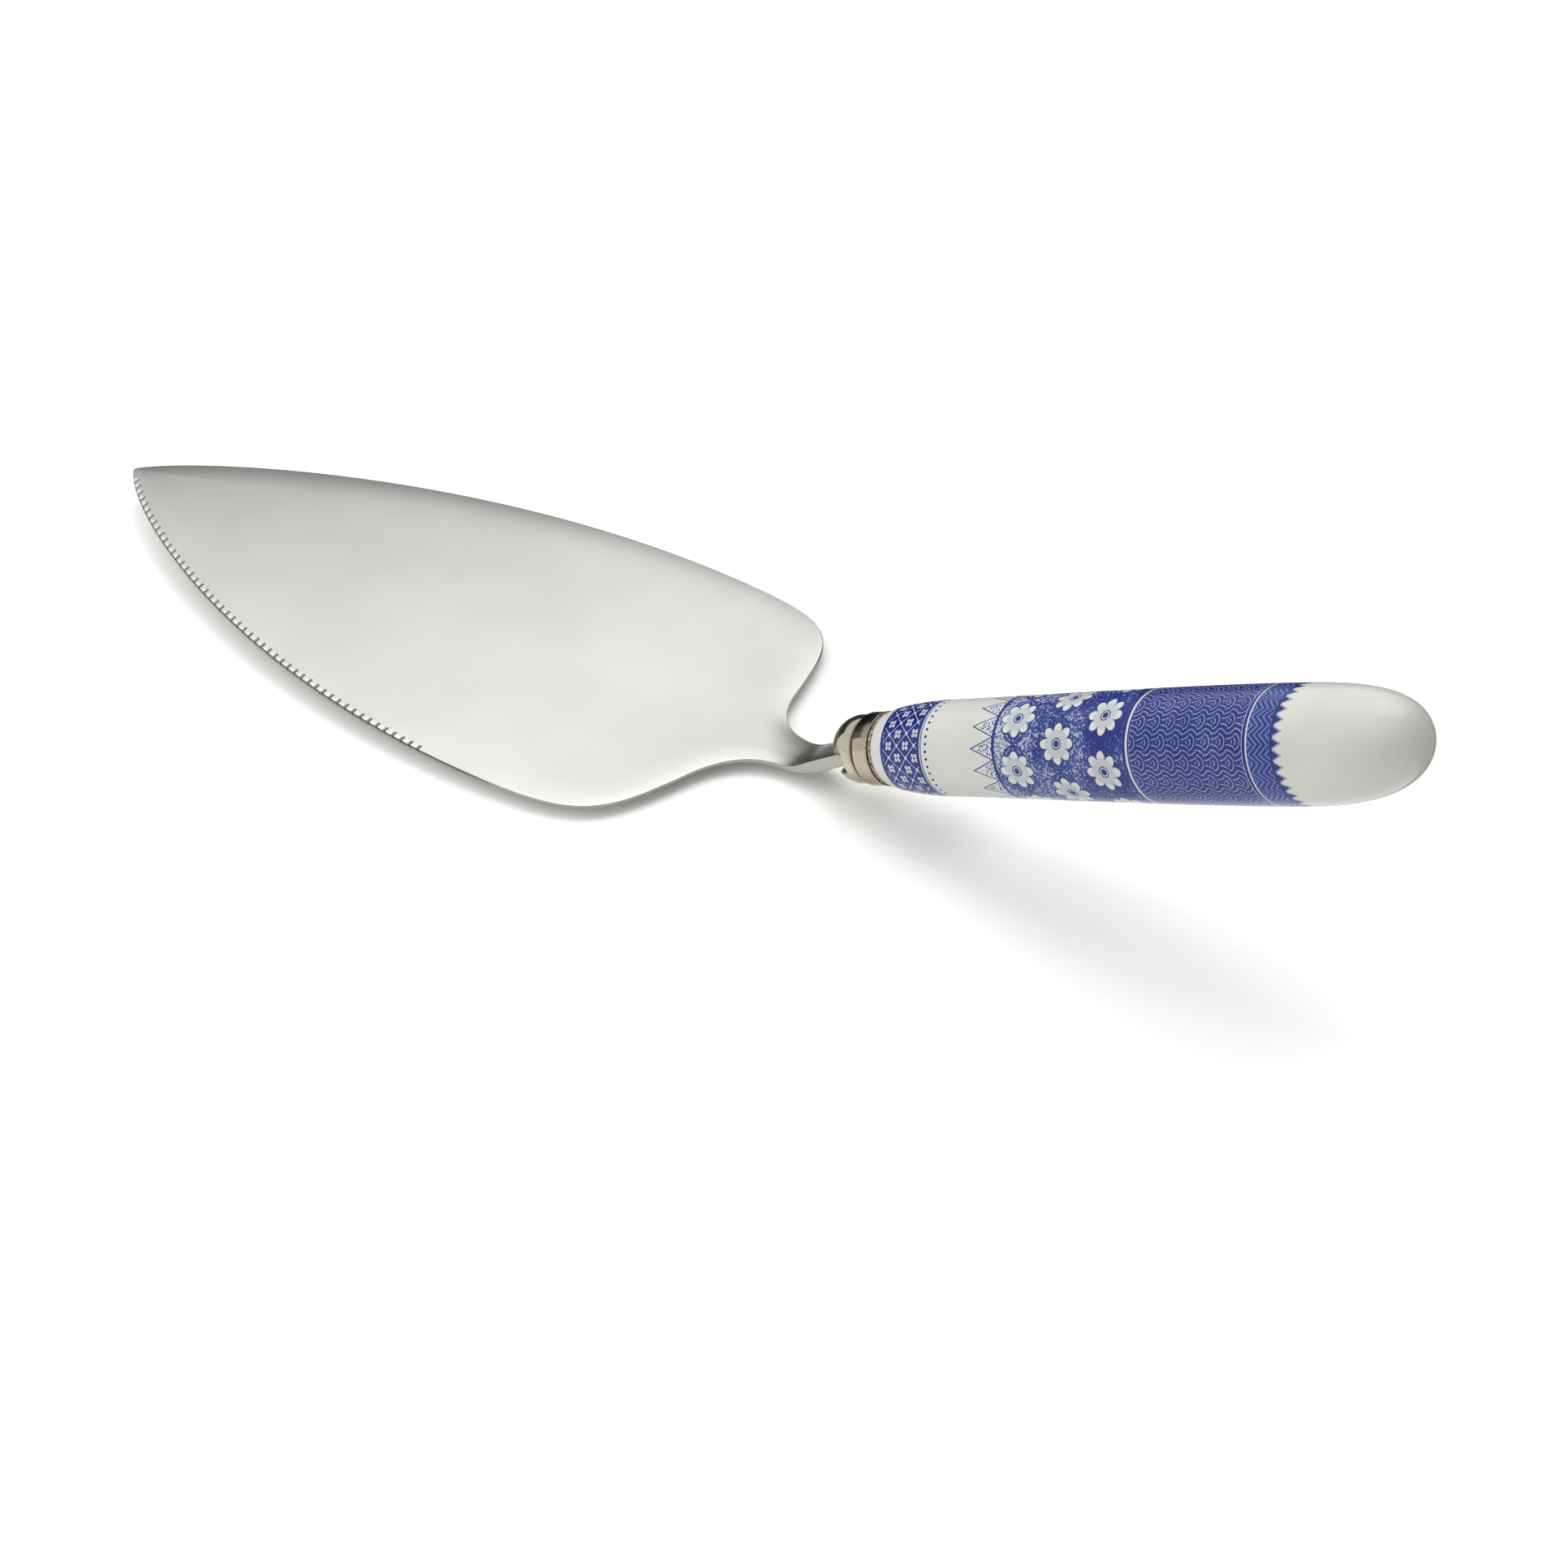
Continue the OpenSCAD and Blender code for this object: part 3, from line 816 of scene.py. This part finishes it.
def satin_steel():
    """Brushed steel: satin on the plate, polished on the neck, grey on sheared sides, ground grey with
    painted shade in the grooves, and painted dark reflections on the neck and along some edges.
    """
    material, tree, shader = new_material("satin_steel")
    x, y, z = (along(tree, axis) for axis in ((1, 0, 0), (0, 1, 0), (0, 0, 1)))
    brush = noise(tree, BRUSH_GRAIN, 3)
    wear = noise(tree, WEAR_GRAIN, 2)
    shear = noise(tree, SHEAR_GRAIN, 3)
    level = facing_up(tree)
    sunk = down_groove(tree)
    polish = x.step(*POLISH_X)
    sheared = level.step(*SHEARED_LEVELS)

    top = mix_colours(tree, wear.step(*WEAR_TONES), STEEL, STEEL_WORN)
    # Painted shade in the grooves over a grey ground finish: grey down each ramp, almost black at its root
    top = mix_colours(tree, sunk.step(*GROOVE_SHADE_SHARES), top, GROOVE_GRIND_AND_SHADE)
    top = mix_colours(tree, sunk.step(*ROOT_SHARES), top, GROOVE_ROOT_SHADE)
    # Painted dark reflection on the neck's top, where it bends up
    top = mix_colours(tree, x.step(*NECK_TOP_X), top, NECK_TOP_REFLECTION)
    # Painted dark reflection at the foot of the neck
    foot = along(tree, FOOT_DIRECTION).step(*FOOT_REACH) * x.step(*FOOT_END_X) * y.step(*FOOT_SIDE_Y)
    top = mix_colours(tree, foot, top, NECK_FOOT_REFLECTION)

    side = mix_colours(tree, shear.step(*SHEAR_TONES), SHEARED_LIGHT, SHEARED_DARK)
    # Painted dark reflection along the top of the side face under the serrations
    line = z.step(*EDGE_LINE_Z) * x.step(*EDGE_LINE_END_X) * y.step(*EDGE_LINE_Y)
    side = mix_colours(tree, line, side, EDGE_DARK_REFLECTION)
    side = mix_colours(tree, x.step(*NECK_SIDE_X), side, NECK_SIDE)

    colour = mix_colours(tree, sheared, top, side)
    # Painted dark reflection along the neck's rounded corners
    corner_reflection = level.within(*CORNER_LEVELS, CORNER_SOFT) * x.step(*CORNER_START_X) * x.step(*CORNER_END_X)
    colour = mix_colours(tree, corner_reflection, colour, EDGE_DARK_REFLECTION)
    tree.links.new(colour, shader.inputs["Base Color"])
    roughness = STEEL_ROUGH + BRUSH_ROUGH * (brush - 0.5) - POLISH_ROUGH * polish + SHEARED_ROUGH * sheared
    feed(tree, shader.inputs["Roughness"], roughness)
    shader.inputs["Metallic"].default_value = 1
    bump(tree, shader, brush * (1 - POLISH_SMOOTH * polish) + shear * sheared * SHEAR_DEPTH, STEEL_BUMP)
    return material


def white_metal():
    """Polished white metal with brown tarnish in patches, a painted dark reflection on the collar's top, a
    tan rim, fine scratches, dirt with painted shade in the seam, and painted shade inside the cap."""
    material, tree, shader = new_material("white_metal")
    patch = noise(tree, PATCH_GRAIN, 4)
    scratch = noise(tree, SCRATCH_GRAIN, 3)
    station, up, across = axis_place(tree)
    ahead = 1 - ((station - CAP_S) / NOSE_LEN).least(1)
    # Painted shade inside the cap
    inside = ((up * up + across * across) / CAP_R**2 + ahead * ahead).step(*INSIDE_SHARES)

    # Dirt in the seam, with painted shade that is stronger on its upper side
    dirt_and_shade = (station + (patch - 0.5) * SEAM_DARK_WANDER).step(SEAM_S - SEAM_DARK_REACH, SEAM_S - SEAM_DARK_END)
    dirt_and_shade = dirt_and_shade * station.below(SEAM_S + SEAM_DARK_END, SEAM_SOFT)
    dirt_and_shade = dirt_and_shade * (SEAM_DARK_LEAST + (1 - SEAM_DARK_LEAST) * up.step(*SEAM_DARK_HEIGHTS))
    on_collar = station.step(SEAM_S - SEAM_SOFT, SEAM_S)
    # Painted dark reflection on the collar's top, fading towards the rim
    top_dark_reflection = (up + (patch - 0.5) * DARK_REFLECTION_WANDER).step(*DARK_REFLECTION_HEIGHTS) * on_collar
    fade = station.step(*(RIM_S - reach for reach in DARK_REFLECTION_FADE_REACH))
    rim = station.step(*(RIM_S - reach for reach in RIM_REACH))

    aged = patch.step(*TARNISH_TONES) * TARNISH_SHARE + on_collar * COLLAR_TARNISH
    colour = mix_colours(tree, aged, WHITE_METAL, TARNISH)
    colour = mix_colours(tree, top_dark_reflection * (DARK_REFLECTION_SHARE - DARK_REFLECTION_FADE * fade), colour, COLLAR_TOP_REFLECTION)
    colour = mix_colours(tree, rim * RIM_SHARE, colour, RIM_TAN)
    colour = mix_colours(tree, (dirt_and_shade * SEAM_DARK_SHARE).most(inside), colour, DIRT_AND_SHADE)
    tree.links.new(colour, shader.inputs["Base Color"])
    roughness = METAL_ROUGH + PATCH_ROUGH * patch + SCRATCH_ROUGH * scratch + SEAM_DARK_ROUGH * dirt_and_shade
    feed(tree, shader.inputs["Roughness"], roughness)
    shader.inputs["Metallic"].default_value = 1
    bump(tree, shader, scratch * SCRATCH_DEPTH + patch, METAL_BUMP)
    return material


def gritty_cement():
    """Rough cement, with dark pits between light grains and bright glints."""
    material, tree, shader = new_material("gritty_cement")
    grain = cells(tree, GRAINS_PER_MM)
    dirt = noise(tree, DIRT_GRAIN, 3)
    pits = (grain * PIT_WEIGHTS[0] + dirt * PIT_WEIGHTS[1]).step(*PIT_TONES)
    glint = cells(tree, GLINTS_PER_MM).below(GLINT_R, GLINT_SOFT)
    colour = mix_colours(tree, pits, CEMENT_LIGHT, CEMENT_DARK)
    tree.links.new(mix_colours(tree, glint, colour, CEMENT_GLINT), shader.inputs["Base Color"])
    feed(tree, shader.inputs["Roughness"], CEMENT_ROUGH + DIRT_ROUGH * dirt)
    bump(tree, shader, 1 - grain, CEMENT_BUMP)
    return material


def core_cement():
    """The cement inside: pale, with darker sand."""
    material, tree, shader = new_material("core_cement")
    sand = cells(tree, SAND_PER_MM)
    colour = mix_colours(tree, sand.step(*SAND_TONES), CORE_DARK, CORE_LIGHT)
    tree.links.new(colour, shader.inputs["Base Color"])
    feed(tree, shader.inputs["Roughness"], CORE_ROUGH + SAND_ROUGH * sand)
    bump(tree, shader, sand, CORE_BUMP)
    return material


# The print, by station along the handle's axis and distance round it
PRINT_R = 8.6
PRINT_SOFT = 0.05
PRINT_WOBBLE = 0.16
AROUND_MM = 2 * math.pi * PRINT_R
STIPPLE_PER_MM = 2.6
WOBBLE_GRAIN = (0.9, 0.9, 0.9)
WASH_GRAIN = (0.16, 0.16, 0.16)
INK_GRAIN = (0.5, 0.5, 0.5)
INK_LEAST = 0.7
INK_SHARE = 0.2
WASH_SHARE = 0.4

# Front band, with its lattice in shares of a diamond
FRONT_BAND = (18.75, 27.6)
FRONT_EDGE = 0.55
TRELLIS_COUNT = 12
TRELLIS_LEN = 3.87
TRELLIS_SOFT = 0.02
TRELLIS_LINE = 0.024
TRELLIS_KNOT = 0.1
TRELLIS_WHITE = 0.92
FLORET_R = 0.31
FLORET_WAIST = 0.25
FLORET_ROUND = 0.7
FLORET_EYE = 0.07
VEIN_REACH = (0.12, 0.24)
VEIN_W = 0.16
VEIN_SOFT = 0.08
VEIN_TONE = 0.8
BEAD_ROW_S = 28.9
BEAD_ROW_COUNT = 40
BEAD_ROW_R = 0.26

# Pointed fringes, in shares of a point's height
FRINGE = (38.6, 43.0)
FRINGE_COUNT = 14
FRINGE_TONE = 0.8
FRINGE_DOT = 0.42
FRINGE_INSET = 0.18
FRINGE_LINE = 0.05
FRINGE_SOFT = 0.03
FRINGE_MARGIN = 1.0
END_FRINGE = (99.8, 101.5)
END_COUNT = 32
END_TONE = 0.9
DOT_SOFT = 0.1

# Flowers and leaves on a stippled ground
ROSETTE_ZONE = (43.0, 70.0)
ROSETTE_COUNT = 6
ROSETTE_LEN = 9.0
ROSETTE_R = (1.9, 3.5)
ROSETTE_TONE = 0.95
PETALS = 8
PETAL_ROUND = 0.6
PETAL_OUTLINE = 0.14
PETAL_LINES = 64
PETAL_LINE_REACH = (0.9, 2.3)
PETAL_LINE_W = 0.35
PETAL_LINE_TONE = 0.75
EYE_R = 0.55
EYE_RING_R = 0.85
EYE_RING_W = 0.1
LEAF_R = 2.9
LEAF_POINT = 1.6
LEAF_START = 0.5
RIB_W = 0.14
RIB_SOFT = 0.06
RIB_SHARE = 0.8
SIDE_RIBS_PER_MM = 2.4
SIDE_RIB_LEAN = 1.5
SIDE_RIB_START = 0.7
SIDE_RIB_SOFT = 0.08
SIDE_RIB_TONE = 0.6
RIB_TONE = 0.75
REACH_SOFT = 0.2
GROUND_FADE = (40.0, 74.0)
GROUND_FADE_SHARE = 0.25
GROUND_WASH_SHARE = 0.9
GROUND_LEAST = 0.08
GROUND_TONE = 0.5
STIPPLE_TONE = 0.55
STIPPLE_SOFT = 0.12

# Overlapping scales, chevrons and rings
SCALE_ZONE = (71.4, 93.9)
SCALE_COUNT = 9
SCALE_LINES = 4
SCALE_OVERLAP = 0.001
SCALE_LINE_W = 0.26
SCALE_LINE_SOFT = 0.12
SCALE_WHITE = 0.62
SCALE_DOT = 0.25
SCALE_DOT_WHITE = 0.1
CHEVRON_ZONE = (94.9, 99.3)
CHEVRON_COUNT = 20
CHEVRON_PITCH = 1.1
CHEVRON_SLOPE = 1.2
CHEVRON_W = 0.26
CHEVRON_SOFT = 0.06
CHEVRON_TONES = (0.5, 0.48)
RING_LINES = ((27.9, 0.09), (43.2, 0.28), (70.3, 0.3), (71.2, 0.16), (94.3, 0.3), (99.6, 0.28))


def distance(x, y):
    """Distance of a point from the middle of its cell."""
    return (x * x + y * y).root()


def ring_cell(v, count):
    """Place across one of a number of equal cells round the handle, in millimetres from its middle."""
    return ((v * (count / AROUND_MM)).part() - 0.5) * (AROUND_MM / count)


def trellis(s, v):
    """White diamond lattice, knotted with dots, with a four-petalled floret in each diamond."""
    u = (s - FRONT_BAND[0]) / TRELLIS_LEN
    w = v * (TRELLIS_COUNT / AROUND_MM)
    a = (u + w).part() - 0.5
    b = (u - w).part() - 0.5
    line = (0.5 - abs(a).most(abs(b))).below(TRELLIS_LINE, TRELLIS_SOFT)
    knot = distance(0.5 - abs(a), 0.5 - abs(b)).below(TRELLIS_KNOT, TRELLIS_SOFT)
    r = distance(a, b)
    turn = b.turn_from(a) * 2
    rim = (abs(turn.cos()).power(FLORET_ROUND) * (1 - FLORET_WAIST) + FLORET_WAIST) * FLORET_R
    floret = (r - rim).below(0, TRELLIS_SOFT) * (r - FLORET_EYE).step(-TRELLIS_SOFT, TRELLIS_SOFT)
    vein = abs(turn.sin()).below(VEIN_W, VEIN_SOFT) * r.within(*VEIN_REACH, TRELLIS_SOFT)
    return line.most(knot).most(floret * (1 - VEIN_TONE * vein))


def dot_row(s, v, station, count, radius):
    """A row of dots round the handle."""
    return distance(s - station, ring_cell(v, count)).below(radius, PRINT_SOFT)


def fringe(s, v, base, point, count):
    """A row of points from a base station to a tip station: the fill, and a line outside it."""
    peak = 1 - abs(ring_cell(v, count)) * (2 * count / AROUND_MM)
    share = (s - base) / (point - base)
    inside = (share - peak).below(-FRINGE_INSET, FRINGE_SOFT)
    line = abs(share - peak).below(FRINGE_LINE, FRINGE_SOFT)
    return inside, line


def flower_cell(s, v, shifted):
    """Distance and angle from the middle of the staggered flowers, or of the gaps when shifted by one row."""
    u = (s - ROSETTE_ZONE[0]) / ROSETTE_LEN
    shift = ((u.floor() + shifted) * 0.5).part() * (AROUND_MM / ROSETTE_COUNT)
    x = (u.part() - 0.5) * ROSETTE_LEN
    y = ring_cell(v + shift, ROSETTE_COUNT)
    return distance(x, y), y.turn_from(x)


def rosettes(s, v):
    """Staggered round flowers: petals left white with a dark outline, fine lines and a dark eye."""
    r, turn = flower_cell(s, v, 0)
    lobe = abs((turn * (PETALS / 2)).cos()).power(PETAL_ROUND)
    rim = ROSETTE_R[0] + lobe * (ROSETTE_R[1] - ROSETTE_R[0])
    petal = (r - rim).below(0, PRINT_SOFT)
    outline = abs(r - rim).below(PETAL_OUTLINE, PRINT_SOFT)
    lines = abs((turn * (PETAL_LINES / 2)).sin()).below(PETAL_LINE_W, REACH_SOFT)
    lines = lines * r.within(*PETAL_LINE_REACH, REACH_SOFT) * petal
    eye = r.below(EYE_R, PRINT_SOFT).most(abs(r - EYE_RING_R).below(EYE_RING_W, PRINT_SOFT))
    return petal, outline.most(lines * PETAL_LINE_TONE).most(eye)


def leaves(s, v):
    """Four pointed leaves in each gap between the flowers, with light ribs."""
    r, turn = flower_cell(s, v, 1)
    turn = turn * 2 + math.pi / 2
    leaf = (r - abs(turn.cos()).power(LEAF_POINT) * LEAF_R).below(0, PRINT_SOFT)
    rib = abs(turn.sin()).below(RIB_W, RIB_SOFT) * r.within(LEAF_START, LEAF_R * RIB_SHARE, REACH_SOFT)
    side = (r * SIDE_RIBS_PER_MM - abs(turn.sin()) * SIDE_RIB_LEAN).part()
    side = abs(side - 0.5).below(RIB_W, SIDE_RIB_SOFT) * r.within(SIDE_RIB_START, LEAF_R, REACH_SOFT)
    return leaf * (1 - rib.most(side * SIDE_RIB_TONE) * RIB_TONE)


def wave_scales(s, v):
    """Overlapping scales: how far across its scale each point lies, from 0 at its middle to 1."""
    width = AROUND_MM / SCALE_COUNT
    radius, pitch = width / 2, width / 4
    u = (s - SCALE_ZONE[0]) / pitch
    row = u.floor()
    shown = None
    for back in (2, 1, 0):
        level = row - back
        x = (u - level) * pitch
        y = ring_cell(v + (level * 0.5).part() * width, SCALE_COUNT)
        r = distance(x, y) / radius
        shown = r if shown is None else shown + (r - shown) * r.below(1, SCALE_OVERLAP)
    return shown


def front_tone(s, v):
    """The lattice band and the row of dots behind it."""
    band = s.within(*FRONT_BAND, PRINT_SOFT)
    inner = s.within(FRONT_BAND[0] + FRONT_EDGE, FRONT_BAND[1] - FRONT_EDGE, PRINT_SOFT)
    tone = band * (1 - trellis(s, v) * inner * TRELLIS_WHITE)
    return tone.most(dot_row(s, v, BEAD_ROW_S, BEAD_ROW_COUNT, BEAD_ROW_R))


def flower_tone(s, v, dots, wash):
    """The stippled fringe, and the flowers and leaves behind it on their ground."""
    fill, line = fringe(s, v, FRINGE[1], FRINGE[0], FRINGE_COUNT)
    front = s.within(FRINGE[0] - FRINGE_MARGIN, FRINGE[1], PRINT_SOFT)
    tone = front * line.most(fill * dots.below(FRINGE_DOT, DOT_SOFT) * FRINGE_TONE)
    zone = s.within(*ROSETTE_ZONE, PRINT_SOFT)
    petal, drawn = rosettes(s, v)
    depth = s.step(*GROUND_FADE) * GROUND_FADE_SHARE + GROUND_WASH_SHARE * wash + GROUND_LEAST
    ground = GROUND_TONE * depth + dots.below(depth, STIPPLE_SOFT) * STIPPLE_TONE
    ground = ground.most(leaves(s, v))
    return tone.most(zone * (ground * (1 - petal)).most(drawn * ROSETTE_TONE))


def end_tone(s, v, dots):
    """The scales, the chevrons and the fringe towards the handle's end."""
    zone = s.within(*SCALE_ZONE, PRINT_SOFT)
    ripple = abs((wave_scales(s, v) * SCALE_LINES).part() - 0.5) * 2
    white = ripple.below(SCALE_LINE_W, SCALE_LINE_SOFT) * SCALE_WHITE
    tone = zone * (1 - white - dots.below(SCALE_DOT, DOT_SOFT) * SCALE_DOT_WHITE)
    zone = s.within(*CHEVRON_ZONE, PRINT_SOFT)
    zigzag = ((s + abs(ring_cell(v, CHEVRON_COUNT)) * CHEVRON_SLOPE) / CHEVRON_PITCH).part()
    drawn = abs(zigzag - 0.5).below(CHEVRON_W, CHEVRON_SOFT)
    tone = tone.most(zone * (CHEVRON_TONES[0] + drawn * CHEVRON_TONES[1]))
    fill, line = fringe(s, v, *END_FRINGE, END_COUNT)
    end = s.within(END_FRINGE[0], END_FRINGE[1] + FRINGE_MARGIN, PRINT_SOFT)
    return tone.most(end * line.most(fill * END_TONE))


def blue_print(tree):
    """How much blue the print has at each place, from 0 on bare glaze to 1."""
    station, up, across = axis_place(tree)
    wobble = (noise(tree, WOBBLE_GRAIN, 2) - 0.5) * PRINT_WOBBLE
    s = station + wobble
    v = across.turn_from(up) * PRINT_R + wobble
    dots = cells(tree, STIPPLE_PER_MM)
    wash = noise(tree, WASH_GRAIN, 2)
    tone = front_tone(s, v).most(flower_tone(s, v, dots, wash)).most(end_tone(s, v, dots))
    for ring, half in RING_LINES:
        tone = tone.most(abs(s - ring).below(half, PRINT_SOFT))
    return tone * (INK_LEAST + INK_SHARE * noise(tree, INK_GRAIN, 4) + WASH_SHARE * wash)


def porcelain():
    """Glossy glazed porcelain with the blue print under the glaze."""
    material, tree, shader = new_material("porcelain")
    tone = blue_print(tree)
    cloud = noise(tree, CLOUD_GRAIN, 2)
    colour = mix_colours(tree, cloud.step(*CLOUD_TONES), GLAZE, GLAZE_GREY)
    colour = mix_colours(tree, tone.step(*MID_TONES), colour, BLUE_MID)
    colour = mix_colours(tree, tone.step(*DARK_TONES), colour, BLUE_DARK)
    tree.links.new(colour, shader.inputs["Base Color"])
    feed(tree, shader.inputs["Roughness"], GLAZE_ROUGH + CLOUD_ROUGH * cloud)
    shader.inputs["Specular IOR Level"].default_value = GLAZE_SPECULAR
    bump(tree, shader, noise(tree, RIPPLE_GRAIN, 1), GLAZE_BUMP)
    return material


# Stage

CAMERA_PLACE = (782.571, -978.473, 864.371)
CAMERA_AZIMUTH = 37.307
CAMERA_ELEVATION = 35.253
CAMERA_LENS = 220.82
SENSOR = 36.0

# The floor slopes as the facet under the heel does, because the server rests back on it
FLOOR_HALF = 1000.0
FLOOR_SLOPE = HEEL_LIFT / (NECK[0] - SWEEP_X)
FLOOR_GAP = 1.8
FLOOR_WHITE = (0.93, 0.93, 0.93)
FLOOR_SHOWN = (1.22, 1.215, 1.205)

# Soft light: an even fill, stronger from one side, and a large key
FILL = 0.69
FILL_TILT = 0.66
FILL_FROM = Vector((-0.9, -0.42, 0.05))
KEY_FROM = (-50.0, 430.0, 950.0)
KEY_SIZE = 850.0
KEY_POWER = 4.6

# Dark cards by the place of their foot, the compass angle that they face from and their size
CARDS = {
    "card_back": ((-102.0, 133.5), 127.3, (420.0, 80.0)),
    "card_left": ((-330.0, 130.0), 180.0, (320.0, 180.0)),
    "card_right": ((110.0, 190.0), 60.0, (420.0, 120.0)),
}
CARD_SHADE = 0.05

# A dark apron on the floor behind the object, by its reach along X and Y
APRON = ((-200.0, 300.0), (26.0, 260.0))
APRON_LIFT = 0.3


def shown_rays(tree):
    """1 for rays from the camera, from gloss and from glass, which see the white background."""
    rays = tree.nodes.new("ShaderNodeLightPath")
    camera, gloss, glass = (
        Wire(tree, rays.outputs[name]) for name in ("Is Camera Ray", "Is Glossy Ray", "Is Transmission Ray")
    )
    return camera.most(gloss).most(glass)


def make_world():
    """White behind the object, and a soft fill on it that is stronger from one side."""
    world = bpy.data.worlds.new("studio")
    bpy.context.scene.world = world
    world.use_nodes = True
    tree = world.node_tree
    light = tree.nodes["Background"]
    light.inputs["Color"].default_value = (1, 1, 1, 1)
    toward_fill = tree.nodes.new("ShaderNodeVectorMath")
    toward_fill.operation = "DOT_PRODUCT"
    tree.links.new(tree.nodes.new("ShaderNodeTexCoord").outputs["Generated"], toward_fill.inputs[0])
    toward_fill.inputs[1].default_value = FILL_FROM.normalized()
    fill = (Wire(tree, toward_fill.outputs["Value"]) * FILL_TILT + FILL).most(0)
    shown = shown_rays(tree)
    feed(tree, light.inputs["Strength"], fill + (1 - fill) * shown)


def floor_point(x, y):
    """The point of the floor under a place."""
    return np.array([x, y, (x - SWEEP_X) * FLOOR_SLOPE - FLOOR_GAP])


def make_floor():
    """A pale floor that looks white and keeps the object's shadow."""
    signs = ((-1, -1), (1, -1), (1, 1), (-1, 1))
    corners = [floor_point(x * FLOOR_HALF, y * FLOOR_HALF) for x, y in signs]
    floor = make_object("floor", corners, [(0, 1, 2, 3)])
    material, tree, shader = new_material("white_floor")
    colour = mix_colours(tree, shown_rays(tree), FLOOR_WHITE, FLOOR_SHOWN)
    tree.links.new(colour, shader.inputs["Base Color"])
    shader.inputs["Roughness"].default_value = 1
    shader.inputs["Specular IOR Level"].default_value = 0
    floor.data.materials.append(material)


def make_card(name, corners):
    """A dark card that only reflections see."""
    card = make_object(name, corners, [(0, 1, 2, 3)])
    material, _, shader = new_material(name)
    shader.inputs["Base Color"].default_value = (CARD_SHADE, CARD_SHADE, CARD_SHADE, 1)
    shader.inputs["Roughness"].default_value = 1
    card.data.materials.append(material)
    card.visible_camera = False
    card.visible_diffuse = False
    card.visible_shadow = False


def standing(foot, angle, size):
    """The corners of a card that stands on the floor."""
    width, height = size
    side = width / 2 * np.array([-math.sin(math.radians(angle)), math.cos(math.radians(angle)), 0])
    low = floor_point(*foot)
    high = low + [0, 0, height]
    return [low - side, low + side, high + side, high - side]


def lying(reach_x, reach_y):
    """The corners of a card that lies on the floor."""
    (x0, x1), (y0, y1) = reach_x, reach_y
    return [floor_point(x, y) + [0, 0, APRON_LIFT] for x, y in ((x0, y0), (x1, y0), (x1, y1), (x0, y1))]


def make_key():
    """A soft light almost overhead, a little behind the object."""
    light = bpy.data.lights.new("key", "AREA")
    light.size = KEY_SIZE * MM
    light.energy = KEY_POWER
    key = bpy.data.objects.new("key", light)
    key.location = Vector(KEY_FROM) * MM
    key.rotation_euler = Vector(KEY_FROM).to_track_quat("Z", "Y").to_euler()
    bpy.context.scene.collection.objects.link(key)


def make_camera():
    """The photograph's view."""
    lens = bpy.data.cameras.new("camera")
    lens.lens = CAMERA_LENS
    lens.sensor_width = SENSOR
    turn, lift = math.radians(CAMERA_AZIMUTH), math.radians(CAMERA_ELEVATION)
    back = Vector((math.sin(turn) * math.cos(lift), -math.cos(turn) * math.cos(lift), math.sin(lift)))
    right = Vector((math.cos(turn), math.sin(turn), 0))
    camera = bpy.data.objects.new("camera", lens)
    aim = Matrix((right, back.cross(right), back)).transposed().to_4x4()
    camera.matrix_world = Matrix.Translation(Vector(CAMERA_PLACE) * MM) @ aim
    bpy.context.scene.collection.objects.link(camera)
    bpy.context.scene.camera = camera


def dress(piece, material, node):
    """Gives a piece its material, its slot in the record and the node that it stands for."""
    piece.data.materials.clear()
    piece.data.materials.append(material)
    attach(piece, "root")
    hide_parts(node)


bpy.context.scene.view_settings.view_transform = "Standard"
metal = white_metal()
dress(make_blade(), satin_steel(), "blade")
dress(make_cap(), metal, "dome_cap")
dress(make_collar(), metal, "collar")
dress(make_bead(), gritty_cement(), "joint_bead")
dress(make_handle(), porcelain(), "handle")
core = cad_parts["cement_core"]
core.data.materials.clear()
core.data.materials.append(core_cement())

make_world()
make_floor()
for name, card in CARDS.items():
    make_card(name, standing(*card))
make_card("apron", lying(*APRON))
make_key()
make_camera()
